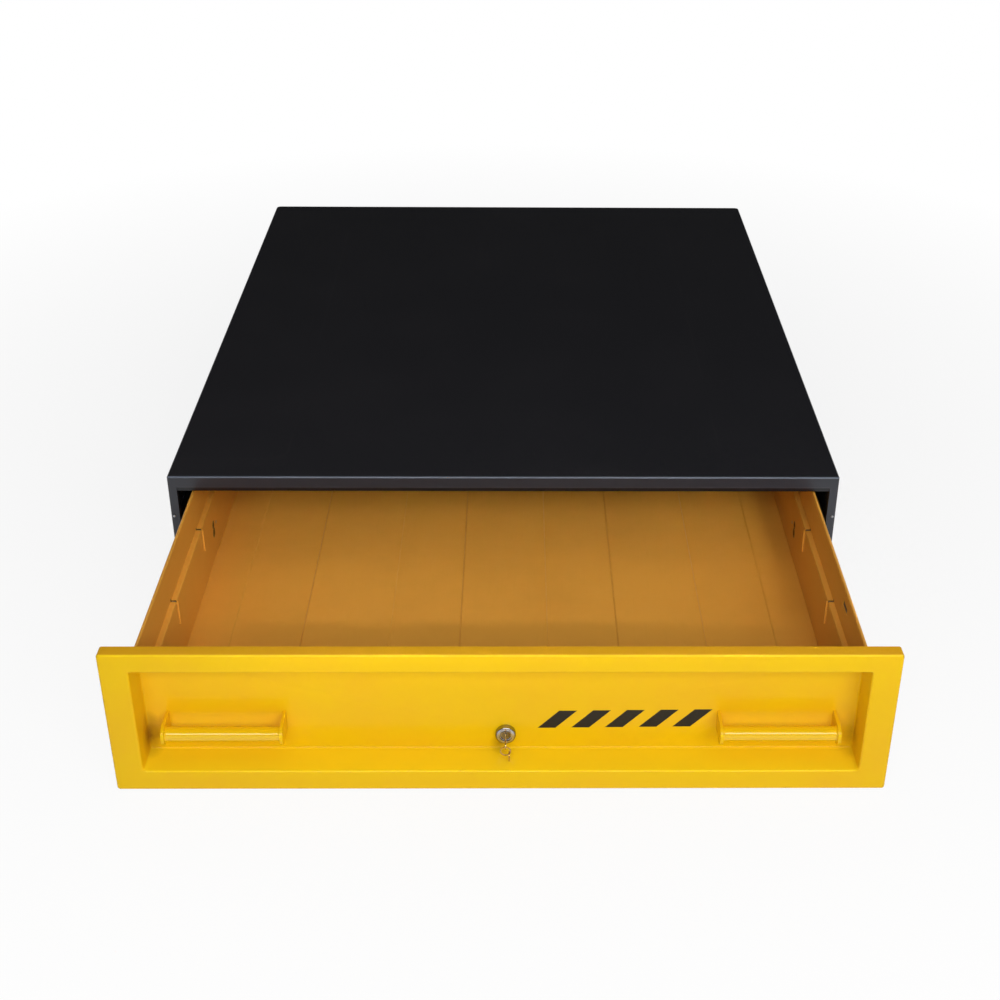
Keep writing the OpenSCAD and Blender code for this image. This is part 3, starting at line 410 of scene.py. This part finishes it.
def drawer_painted_shade(tree, place):
    """Painted shade round the adjusting holes in the lower sides, as seen along X, and in the
    divider slots and in the window of the right-hand side, which are dark inside."""
    low, high = ends("left_inner_rail")
    # A hole lies above the runner's centre line and a slot under it, both this far along the rail
    along, centre_z, both_sides = low[1] + 469 * MM, (low[2] + high[2]) / 2, 9999
    holes = [spot(tree, place, (0, along, centre_z + up * MM), (both_sides, reach, reach),
                  0.85, core=0.75) for up, reach in ((6.8, 7.5), (-7, 9))]
    # The divider slots have one pitch, so a point counts by how far it lies from the nearest one
    slot_y, pitch = -800 * MM, 193 * MM
    x, y, z = add(tree, "SeparateXYZ", place).node.outputs
    from_slot = add(tree, "Math", y, -slot_y, operation="ADD")
    nearest = add(tree, "Math", from_slot, pitch / 2, operation="PINGPONG")
    folded = add(tree, "CombineXYZ", add(tree, "Math", x, operation="ABSOLUTE"), nearest, z)
    slots = block(tree, folded, np.array([461, 0, 132.5]) * MM, (4.5, 1.6, 2.5), 0.85)
    window = block(tree, place, np.array([465.9, -859, 164.5]) * MM, (0.3, 21, 6.5), 0.9)
    return largest(tree, *holes, slots, window)


def painted_lock_shade(tree, place):
    """Painted shade round the lower edge of the lock's face, and a painted dark reflection on its
    plug, by the distance from its axis."""
    off = add(tree, "VectorMath", place, LOCK, operation="SUBTRACT")
    off = add(tree, "VectorMath", off, X + Z, operation="MULTIPLY")
    away = add(tree, "VectorMath", off, operation="LENGTH")
    height = add(tree, "SeparateXYZ", off).node.outputs["Z"]
    edge = add(tree, "MapRange", away, 11.4 * MM, 12.4 * MM, 0.0, 0.9)
    lower = add(tree, "MapRange", height, 2 * MM, 9 * MM, 1.0, 0.3)
    plug = add(tree, "MapRange", away, 4 * MM, 7.5 * MM, 0.6, 0.0)
    return largest(tree, add(tree, "Math", edge, lower, operation="MULTIPLY"), plug)


# Finishes

def case_coat():
    """Black powder coat, satin: it stays near black and takes only a broad, dim shine."""
    c = colours()
    # Painted highlights along the front fold and the flange's lower edge, painted shade on the
    # header
    return coat("Black powder coat", c.case, c.case_dust_and_highlight, rub=0.12, streaks=0.05, gloss=0.3,
                peel_mm=0.016, specular=0.4, marks=case_marks,
                layers=[(case_painted_fold_highlight, c.case_painted_highlight), (header_shade, c.header_painted_shade)])


def front_coat():
    """Yellow powder coat, glossy: soft-edged reflections of the handles show in the recess."""
    c = colours()
    # Painted light on the top and the ledge, painted highlights on the folds, painted shade in the
    # recess
    return coat("Yellow powder coat", c.front, c.front_rub_and_top_light, rub=0.5, streaks=0.08, gloss=0.18,
                peel_mm=0.012, specular=0.15, marks=panel_top_painted_light,
                layers=[(ledge_painted_light, c.front_painted_light), (panel_painted_fold_highlight, c.front_painted_light),
                        (recess_shade_and_lock_spot, c.recess_shade)])


def handle_coat():
    """The same coat on the bars, polished by hands: a narrower and brighter highlight."""
    c = colours()
    return coat("Polished powder coat", c.front, c.front_rub_and_top_light, rub=0.3, streaks=0.05, gloss=0.07,
                peel_mm=0.004, specular=0.45)


def drawer_coat():
    """Yellow powder coat inside the drawer: duller, with painted shade at the adjusting holes, in
    the divider slots and in the side's window."""
    c = colours()
    return coat("Drawer powder coat", c.drawer, c.drawer_rub, rub=0.35, streaks=0.1, gloss=0.34,
                peel_mm=0.016, specular=0.25, layers=[(drawer_painted_shade, c.drawer_shade)])


def rail_zinc():
    """Bright zinc plate on cold-rolled strip: a cool white metal with rolling lines along Y."""
    c = colours()
    return metal("Zinc-plated strip", c.zinc, c.zinc_stain, gloss=0.3, grain_mm=1.2,
                 stretch=(1, 40, 1))


def cage_strip():
    """Pressed strip steel with a film of grease: darker, with soft clouds."""
    c = colours()
    return metal("Greased strip steel", c.strip, c.zinc_stain, gloss=0.36, grain_mm=1.6,
                 stretch=(1, 12, 1))


def ball_polish():
    """Lapped bearing steel: nearly a mirror, with a haze of grease."""
    c = colours()
    return metal("Lapped bearing steel", c.bearing, c.strip, gloss=0.08, grain_mm=3.0,
                 scratch_mm=0.001)


def fastener_zinc():
    """Zinc plate on cold-formed steel: even grain with small bright and dull spots."""
    c = colours()
    return metal("Zinc-plated fastener", c.zinc, c.zinc_stain, gloss=0.28, grain_mm=0.8)


def lock_plate():
    """Nickel plate on a turned lock body: a warm mirror with hairline scratches."""
    c = colours()
    # Painted shade on the lower edge of the face and a painted dark reflection on the plug
    return metal("Nickel plate", c.nickel, c.zinc_stain, gloss=0.14, grain_mm=0.5,
                 stretch=(6, 1, 1), scratch_mm=0.003, layers=[(painted_lock_shade, c.lock_shade)])


def key_metal():
    """Nickel-plated brass, worn by use: golden where the plating is gone, with fine marks on the
    blade."""
    c = colours()
    return metal("Worn plated brass", c.key, c.key_plate, gloss=0.2, grain_mm=0.4,
                 stretch=(1, 5, 5), scratch_mm=0.003)


def film_print():
    """Screen print on vinyl film: dark brown ink with a fine uneven gloss."""
    material, tree, place = blank("Printed vinyl film")
    c = colours()
    ink = pattern(tree, place, 5, detail=5.0, roughness=0.65)
    thin = add(tree, "MapRange", ink, 0.45, 0.8, 0.0, 0.3)
    tone = add(tree, "Mix", thin, c.stripes, c.case_dust_and_highlight, data_type="RGBA")
    dull = add(tree, "MapRange", ink, 0.3, 0.7, 0.3, 0.45)
    return surface(material, tree, Base_Color=tone, Roughness=dull, Specular_IOR_Level=0.25)


FINISHES = {
    "case_paint": case_coat, "front_paint": front_coat, "drawer_paint": drawer_coat,
    "runner_zinc": rail_zinc, "cage_steel": cage_strip, "ball_steel": ball_polish,
    "fastener_zinc": fastener_zinc, "lock_nickel": lock_plate, "key_nickel": key_metal,
}
made = {}


def finish(slot):
    """The material of a record slot, made the first time that it is asked for."""
    if slot not in made:
        made[slot] = FINISHES[slot]()
    return made[slot]


# Surfaces

def arc(centre, radius, start, stop, steps=6):
    """Points on a circle's arc, from one angle to another in degrees."""
    a = np.radians(np.linspace(start, stop, steps + 1))[:, None]
    return np.array(centre) + radius * np.hstack([np.cos(a), np.sin(a)])


def quads(rows, columns, wrap_rows=False):
    """Faces of a grid whose rows are closed loops; with wrap_rows its last row joins the first."""
    index = np.arange(rows * columns).reshape(rows, columns)
    index = np.hstack([index, index[:, :1]])
    if wrap_rows:
        index = np.vstack([index, index[:1]])
    corners = [index[:-1, :-1], index[:-1, 1:], index[1:, 1:], index[1:, :-1]]
    return np.stack(corners, axis=-1).reshape(-1, 4)


def shell(points, wrap_rows=False):
    """Closed shell over a grid of points whose rows are loops.

    Unless the rows wrap, a fan to the middle of the loop closes each end. Faces are turned
    outwards by the sign of the volume, which is the sum of the tetrahedra from the origin to each
    triangle.
    """
    rows, columns = points.shape[:2]
    vertices = points.reshape(-1, 3)
    square = quads(rows, columns, wrap_rows)
    faces = [np.vstack([square[:, :3], square[:, [0, 2, 3]]])]
    if not wrap_rows:
        vertices = np.vstack([vertices, points[0].mean(axis=0), points[-1].mean(axis=0)])
        ring = np.arange(columns)
        following = np.roll(ring, -1)
        last, tip = (rows - 1) * columns, rows * columns
        faces.append(np.stack([following, ring, np.full(columns, tip)], axis=-1))
        faces.append(np.stack([last + ring, last + following, np.full(columns, tip + 1)], axis=-1))
    faces = np.vstack(faces)
    a, b, c = (vertices[faces[:, i]] for i in range(3))
    if np.einsum("ij,ij->i", a, np.cross(b, c)).sum() < 0:
        faces = faces[:, ::-1]
    return vertices, faces


def piece(name, shells, material, body, instead_of=()):
    """One object made of closed shells, at the origin, that rides on a body."""
    starts = np.cumsum([0] + [len(vertices) for vertices, _ in shells])
    vertices = np.vstack([v for v, _ in shells])
    faces = np.vstack([f + start for (_, f), start in zip(shells, starts)])
    mesh = bpy.data.meshes.new(name)
    mesh.from_pydata(vertices, [], faces.tolist())
    mesh.polygons.foreach_set("use_smooth", np.ones(len(faces), bool))
    mesh.set_sharp_from_angle(angle=math.radians(32))
    mesh.materials.append(material)
    obj = bpy.data.objects.new(name, mesh)
    bpy.context.scene.collection.objects.link(obj)
    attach(obj, body)
    if instead_of:
        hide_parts(*instead_of)


def turned(profile, centre, axis, side, up, steps, ripple):
    """Surface of revolution over a profile with rows of (along, radius).

    The point at angle t of a circle is centre + along axis + radius (side cos t + up sin t).
    Ripple gives what is added to the radius, from the profile and the angle.
    """
    t = np.arange(steps) * TAU / steps
    along, radius = profile[:, :1], profile[:, 1:] + ripple(profile, t)
    return (centre + along[..., None] * axis
            + radius[..., None] * (np.cos(t)[:, None] * side + np.sin(t)[:, None] * up))


def rounded_loop(x0, x1, z0, z1, low_r, top_r, turn=6, long_steps=64, short_steps=10):
    """Loop round a rectangle with arcs at its corners, the same number of points for any size."""
    corners = [(x1 - low_r, z0 + low_r, low_r, -90), (x1 - top_r, z1 - top_r, top_r, 0),
               (x0 + top_r, z1 - top_r, top_r, 90), (x0 + low_r, z0 + low_r, low_r, 180)]
    arcs = [arc((cx, cz), r, a, a + 90, turn) for cx, cz, r, a in corners]
    parts = []
    for i, here in enumerate(arcs):
        steps = long_steps if i % 2 else short_steps
        share = np.linspace(0, 1, steps + 1)[1:-1, None]
        parts += [here, here[-1] * (1 - share) + arcs[(i + 1) % 4][0] * share]
    return np.vstack(parts)


class FrontPanel(bpy.types.Operator):
    """Press the front panel from one sheet, with rounded folds and a deep recess"""
    bl_idname = "vault.front_panel"
    bl_label = "Front panel"

    def execute(self, context):
        """The surface is a closed profile carried round the panel.

        Each row is a rounded rectangle at one depth: the outside outline or the mouth of the
        recess, drawn in or let out by the profile. The profile runs over the front of the sheet
        and back over its rear.
        """
        s = sizes()
        low, high = ends("front_panel")
        outside = ((low[0], high[0], low[2], high[2]), (s.panel_corner, s.panel_corner))
        mouth = ((low[0] + s.border_side, high[0] - s.border_side,
                  low[2] + s.border_bottom, high[2] - s.border_top),
                 (s.recess_corner, s.recess_top_corner))
        fold, sheet, floor = s.panel_fold, s.panel_sheet, RECESS_Y - low[1]
        least_radius = 0.2 * MM

        def row(outline, inset, depth):
            (x0, x1, z0, z1), radii = outline
            flat = rounded_loop(x0 + inset, x1 - inset, z0 + inset, z1 - inset,
                                *(max(r - inset, least_radius) for r in radii))
            return np.column_stack([flat[:, 0], np.full(len(flat), low[1] + depth), flat[:, 1]])

        def side(r, hole_y):
            """Rows over one side of the sheet, whose fold has radius r at the panel's edge."""
            flange = [(outside, fold - r, s.panel_flange)]
            edge = [(outside, *p) for p in arc((fold, fold), r, 180, 270)]
            flare = [(mouth, *p) for p in arc((-fold, fold), r, 270, 360)]
            bend = [(mouth, *p) for p in arc((fold, floor - fold), 2 * fold - r, 180, 90)]
            rows = [row(*place) for place in flange + edge + flare + bend]
            # The last row is the lock's hole, at the angles that the row before it has round it
            out = (rows[-1] - LOCK) * (X + Z)
            hole = out / np.linalg.norm(out, axis=1)[:, None] * s.barrel / 2
            return rows + [hole + [LOCK[0], hole_y, LOCK[2]]]

        front = side(fold, RECESS_Y)
        rear = side(fold - sheet, RECESS_Y + sheet)
        points = np.array(front + rear[::-1])
        piece("pressed_front_panel", [shell(points, wrap_rows=True)], finish("front_paint"),
              "drawer", ["front_panel"])
        return {"FINISHED"}


class HandleBars(bpy.types.Operator):
    """Turn the two handle bars with a rippled weld at each end"""
    bl_idname = "vault.handle_bars"
    bl_label = "Handle bars"

    def execute(self, context):
        """Each bar is turned about X. Near each end the radius grows along a hollow quarter
        circle, the weld, and the weld swells and sinks a little round the bar, once for each bead.
        The beads are uneven."""
        s = sizes()
        beads, swell, unevenness = 30, 0.16 * s.weld, 0.6
        polished = handle_coat()

        def bead(rows, angle):
            share = (rows[:, 1:] - s.bar / 2) / s.weld
            return share * swell * (np.cos(beads * angle + unevenness * np.sin(3 * angle)) - 1)

        for side in ("left", "right"):
            node = f"{side}_handle_bar"
            low, high = ends(node)
            half = (high[0] - low[0]) / 2
            hollow = arc((half - s.weld, s.bar / 2 + s.weld), s.weld, 270, 360, 8)
            profile = np.vstack([hollow[::-1] * [-1, 1], hollow])
            points = turned(profile, (low + high) / 2, X, Y, Z, 180, bead)
            piece(f"{side}_welded_bar", [shell(points)], polished, "drawer", [node])
        return {"FINISHED"}


class Stripes(bpy.types.Operator):
    """Lay the dark hazard stripes on the recess as printed film"""
    bl_idname = "vault.stripes"
    bl_label = "Hazard stripes"

    def execute(self, context):
        """Each stripe is a parallelogram with thickness: two loops of four corners, one just off
        the sheet and one a film's thickness in front of it."""
        s = sizes()
        gap = 0.01 * MM
        shells = []
        for i in range(s.stripes):
            x = s.stripe_first + i * s.stripe_pitch
            foot, top = s.stripe_low + i * s.stripe_rise, s.stripe_high + i * s.stripe_rise
            end = x + s.stripe_width
            flat = np.array([(x, foot), (end, foot), (end + s.stripe_slant, top),
                             (x + s.stripe_slant, top)])
            loops = [np.column_stack([flat[:, 0], np.full(4, y), flat[:, 1]])
                     for y in (RECESS_Y - gap, RECESS_Y - s.film)]
            shells.append(shell(np.array(loops)))
        piece("hazard_stripes", shells, film_print(), "drawer")
        return {"FINISHED"}


class LockBody(bpy.types.Operator):
    """Turn the lock's housing with its domed rim, face groove and threaded barrel"""
    bl_idname = "vault.lock_body"
    bl_label = "Lock housing"

    def execute(self, context):
        """A closed profile turned about Y. The barrel's radius rises and falls with place along
        the axis minus angle, which makes a thread."""
        s = sizes()
        low, high = ends("lock_body")
        face, back, sheet = LOCK[1] - low[1], LOCK[1] - high[1], LOCK[1] - RECESS_Y
        outer, barrel, bore = (high[2] - low[2]) / 2, s.barrel / 2, s.plug / 2
        pitch, thread, rim, edge = 1.25 * MM, 0.45 * MM, 1.6 * MM, 0.3 * MM
        # Groove in the face round the plug: each point's depth and distance from the bore, in mm
        groove = [(0, 2.6), (1.2, 2.3), (1.2, 1.3), (0.1, 1.0), (0.3, 0.4), (1.2, 0)]
        along = np.linspace(back, sheet - 0.2 * MM, 120)
        profile = np.vstack([
            np.column_stack([along, np.full(len(along), barrel)]),
            [(sheet, outer - edge), (sheet + edge, outer)],
            arc((face - rim, outer - rim), rim, 90, 0, 8),
            [face, bore] + np.array(groove) * [-MM, MM],
            [(back, bore)],
        ])

        def threads(rows, angle):
            turns = rows[:, :1] / pitch - angle / TAU
            cut = (rows[:, :1] < sheet - 1 * MM) & (rows[:, 1:] == barrel)
            return -thread * cut * np.abs(2 * (turns % 1) - 1)

        points = turned(profile, LOCK, -Y, X, Z, 96, threads)
        piece("turned_lock_body", [shell(points, wrap_rows=True)], finish("lock_nickel"), "drawer",
              ["lock_body"])
        return {"FINISHED"}


# Thinnest wall round the hole in a key's head
KEY_WALL = 1.6 * MM


def blanked_key(hole, blade_way, cut_way, length, thickness):
    """Key as two closed shells: the ring-shaped head and the blade with its cuts.

    The head is a rounded strip carried round the hole. Its outer edge lies on a larger circle set
    towards the blade, at distance shift cos t + sqrt(R^2 - (shift sin t)^2) from the hole. The
    blade is a rounded strip carried along its length, whose upper edge dips in a V at each cut and
    whose end is a half circle.
    """
    s = sizes()
    across = np.cross(blade_way, cut_way)
    soft, overlap, steps = 0.3 * MM, 1.2 * MM, 72
    flat = thickness / 2 - soft

    def strip(low, high):
        """Rounded rectangle from low to high and through the thickness, as (up, across) loops."""
        loops = []
        for edge, middle, start in ((high - soft, flat, 0), (low + soft, flat, 90),
                                    (low + soft, -flat, 180), (high - soft, -flat, 270)):
            bend = arc((0, middle), soft, start, start + 90, 3)
            up = edge[:, None] + bend[:, 0]
            loops.append(np.stack([up, np.broadcast_to(bend[:, 1], up.shape)], axis=-1))
        return np.concatenate(loops, axis=1)

    inner, outer = s.key_hole / 2, s.key_head / 2
    shift = outer - inner - KEY_WALL
    t = np.arange(steps) * TAU / steps
    reach = shift * np.cos(t) + np.sqrt(outer ** 2 - (shift * np.sin(t)) ** 2)
    section = strip(np.full(steps, inner), reach)
    way = np.cos(t)[:, None] * blade_way + np.sin(t)[:, None] * cut_way
    head = hole + section[..., :1] * way[:, None] + section[..., 1:] * across

    blade = s.blade / 2
    start, shoulder = shift + outer - overlap, length - blade
    x = np.concatenate([np.arange(start, shoulder, 0.2 * MM),
                        shoulder + blade * np.sin(np.linspace(0, 0.48 * math.pi, 8))])
    round_end = np.sqrt(np.maximum(blade ** 2 - np.maximum(x - shoulder, 0) ** 2, 0))
    # One cut for each half width of the blade, from 2.4 mm along it
    first, depth, steepness = start + 2.4 * MM, 0.32 * blade, 3.2
    dips = depth * np.maximum(0, 1 - np.abs((x - first) / blade % 1 - 0.5) * steepness)
    dips = dips * (x > first) * (x < shoulder)
    section = strip(-np.maximum(round_end, soft), np.maximum(round_end - dips, soft))
    up, aside = section[..., :1], section[..., 1:]
    body = hole + x[:, None, None] * blade_way + up * cut_way + aside * across
    return [shell(head, wrap_rows=True), shell(body)]


class Keys(bpy.types.Operator):
    """Cut the key in the lock and the spare key, and wind the split ring that joins them"""
    bl_idname = "vault.keys"
    bl_label = "Keys and ring"

    def execute(self, context):
        low, high = ends("key")
        piece("cut_key", blanked_key(BOW, Y, Z, high[1] - BOW[1], high[0] - low[0]),
              finish("key_nickel"), "lock_core", ["key"])
        low, high = ends("spare_key")
        hole_z = high[2] - KEY_WALL - sizes().key_hole / 2
        hole = np.array([(low[0] + high[0]) / 2, BOW[1], hole_z])
        piece("cut_spare_key", blanked_key(hole, -Z, Y, hole[2] - low[2], high[0] - low[0]),
              finish("key_nickel"), "key_bunch", ["spare_key"])
        piece("split_ring", [shell(self.ring())], finish("key_nickel"), "key_bunch",
              ["key_ring"])
        return {"FINISHED"}

    def ring(self):
        """Two turns of flat wire side by side: the centre line goes twice round a circle and steps
        across by one thickness over a twelfth of a turn in the middle. The section is a rounded
        rectangle, whose cosine and sine are raised to a power below 1."""
        low, high = ends("key_ring")
        middle, wire = (low + high) / 2, high[1] - low[1]
        radius = (high[0] - low[0]) / 2 - wire / 2
        # The wire's ends lie at an angle of 1.1 rad, and each stops a little short of it
        ends_at, short, play, squareness = 1.1, 0.02, 0.94, 0.6
        turns = np.linspace(short, 2 - short, 220)
        step = np.clip((turns - 1) * 12 + 0.5, 0, 1)
        over = (step * step * (3 - 2 * step) - 0.5) * wire / 2
        angle = turns * TAU + ends_at
        out = np.cos(angle)[:, None] * X + np.sin(angle)[:, None] * Z
        a = np.arange(12) * TAU / 12
        thin, wide = (size * np.sign(wave) * np.abs(wave) ** squareness
                      for size, wave in ((play * wire / 4, np.sin(a)), (wire / 2, np.cos(a))))
        return (middle + (radius + wide)[None, :, None] * out[:, None]
                + (over[:, None] + thin)[..., None] * Y)


class Finishes(bpy.types.Operator):
    """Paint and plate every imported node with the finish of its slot"""
    bl_idname = "vault.finishes"
    bl_label = "Finishes"

    def execute(self, context):
        for node in frame["nodes"].values():
            node.material_slots[0].material = finish(node.material_slots[0].material.name)
        return {"FINISHED"}


class Studio(bpy.types.Operator):
    """Lay the pale floor, light it and place the camera"""
    bl_idname = "vault.studio"
    bl_label = "Studio"

    def execute(self, context):
        studio = context.scene.vault_studio
        self.floor()
        self.walls(context.scene, studio)
        front, drawer = np.array([0, -0.8, 0.1]), np.array([0.08, -0.5, 0.04])
        self.lamp("Key softbox", studio.key_power, (3.2, 1.1), front,
                  bearing=9, elevation=33, distance=3.2)
        top = self.lamp("Top softbox", studio.top_power, (2.4, 2.0), front,
                        bearing=20, elevation=68, distance=2.8)
        strip = self.lamp("Strip with grid", studio.strip_power, (1.0, 0.1), drawer,
                          bearing=10, elevation=28, distance=2.6)
        strip.data.spread = math.radians(9)
        # Glossy paint doesn't mirror these two: they would draw more bright lines along the bars
        top.visible_glossy = strip.visible_glossy = False
        self.lamp("Left fill", 0.35 * studio.fill_power, (1.6, 1.6), front,
                  bearing=-82, elevation=34, distance=3.2)
        self.lamp("Right fill", 0.9 * studio.fill_power, (1.6, 1.6), front,
                  bearing=82, elevation=34, distance=3.2)
        self.lamp("Rear fill", studio.fill_power, (2.4, 0.8), front,
                  bearing=180, elevation=62, distance=3.6)
        self.camera(context.scene)
        return {"FINISHED"}

    def rays(self, tree):
        """1 for camera rays, and 1 for rays that come off gloss or through glass."""
        path = add(tree, "LightPath").node.outputs
        gloss = largest(tree, path["Is Glossy Ray"], path["Is Transmission Ray"])
        return path["Is Camera Ray"], gloss

    def floor(self):
        """Seamless white floor. Rays that show it see it nearly white with a soft shadow on it."""
        extent, drop = 16, 0.5 * MM
        mesh = bpy.data.meshes.new("Studio floor")
        corners = np.array([(-1, -1, 0), (1, -1, 0), (1, 1, 0), (-1, 1, 0)]) * extent - drop * Z
        mesh.from_pydata(corners, [], [(0, 1, 2, 3)])
        material, tree, place = blank("Painted studio floor")
        cloud = add(tree, "MapRange", pattern(tree, place, 900, detail=4.0), 0.3, 0.7)
        tone = add(tree, "Mix", cloud, colours().floor, linear("#e8e8e8"), data_type="RGBA")
        matt = add(tree, "BsdfDiffuse", tone)
        white = add(tree, "Emission", (1, 1, 1, 1), 1.0)
        # The share of white grows with the distance from the vault, so only its shadow is left
        away = add(tree, "VectorMath", place, operation="LENGTH")
        share = add(tree, "MapRange", away, 0.6, 1.8, 0.86, 1.0)
        paler = add(tree, "MixShader", share, matt, white)
        look = add(tree, "MixShader", largest(tree, *self.rays(tree)), matt, paler)
        add(tree, "OutputMaterial", look)
        mesh.materials.append(material)
        floor = bpy.data.objects.new("Studio_floor", mesh)
        bpy.context.scene.collection.objects.link(floor)

    def walls(self, scene, studio):
        """White to the camera. To the rest they are pale near the floor and dim above, so that the
        black top mirrors a dim part of the room."""
        world = bpy.data.worlds.new("Studio walls")
        world.use_nodes = True
        tree = world.node_tree
        tree.nodes.clear()
        way = add(tree, "TexCoord").node.outputs["Generated"]
        height = add(tree, "SeparateXYZ", way).node.outputs["Z"]
        low = add(tree, "MapRange", height, *(math.sin(math.radians(a)) for a in (1, 6)), 1.0, 0.0)
        camera, gloss = self.rays(tree)
        light = add(tree, "MapRange", low, 0.0, 1.0, studio.ceiling, studio.horizon)
        mirrored = add(tree, "MapRange", low, 0.0, 1.0, studio.flags, 1.0)
        strength = largest(tree, camera, add(tree, "Mix", gloss, light, mirrored))
        add(tree, "OutputWorld", add(tree, "Background", (1, 1, 1, 1), strength))
        scene.world = world

    def lamp(self, name, power, size, aim, bearing, elevation, distance):
        """Softbox turned to aim; bearing 0 is in front of the drawer and 90 to its right."""
        b, e = math.radians(bearing), math.radians(elevation)
        away = np.array([math.sin(b) * math.cos(e), -math.cos(b) * math.cos(e), math.sin(e)])
        light = bpy.data.lights.new(name, "AREA")
        light.shape = "RECTANGLE"
        light.size, light.size_y = size
        light.energy = power
        lamp = bpy.data.objects.new(name, light)
        lamp.location = aim + away * distance
        lamp.rotation_euler = Vector(away).to_track_quat("Z", "Y").to_euler()
        bpy.context.scene.collection.objects.link(lamp)
        return lamp

    def camera(self, scene):
        """The photograph's view: the turns about Z, X and Y are the camera's yaw, pitch and
        roll."""
        eye = Matrix.Translation((0.01717, -2.56824, 1.31826))
        yaw, pitch, roll = (Matrix.Rotation(math.radians(angle), 4, axis)
                            for angle, axis in ((-0.860, "Z"), (-30.027, "X"), (-0.496, "Y")))
        level = Matrix.Rotation(math.pi / 2, 4, "X")
        lens = bpy.data.cameras.new("Photograph view")
        lens.sensor_width = 36
        lens.lens = 54.66
        lens.shift_x = -0.03535
        lens.clip_end = 100
        camera = bpy.data.objects.new("Camera", lens)
        camera.matrix_world = eye @ yaw @ pitch @ roll @ level
        scene.collection.objects.link(camera)
        scene.camera = camera
        scene.view_settings.view_transform = "Standard"


class VaultPanel(bpy.types.Panel):
    """Steps that dress the vault, in order"""
    bl_idname = "VIEW3D_PT_vault"
    bl_label = "Drawer vault"
    bl_space_type = "VIEW_3D"
    bl_region_type = "UI"
    bl_category = "Vault"

    def draw(self, context):
        for step in STEPS:
            self.layout.operator(step.bl_idname)


STEPS = (Studio, Finishes, FrontPanel, HandleBars, Stripes, LockBody, Keys)
GROUPS = {"vault_colours": VaultColours, "vault_sizes": VaultSizes, "vault_studio": VaultStudio}


def register():
    for cls in (*GROUPS.values(), *STEPS, VaultPanel):
        bpy.utils.register_class(cls)
    for name, group in GROUPS.items():
        setattr(bpy.types.Scene, name, bpy.props.PointerProperty(type=group))


def unregister():
    for name in GROUPS:
        delattr(bpy.types.Scene, name)
    for cls in (VaultPanel, *reversed(STEPS), *GROUPS.values()):
        bpy.utils.unregister_class(cls)


def main():
    """Dress the vault step by step."""
    register()
    for step in STEPS:
        group, name = step.bl_idname.split(".")
        getattr(getattr(bpy.ops, group), name)()


if __name__ == "__main__":
    main()
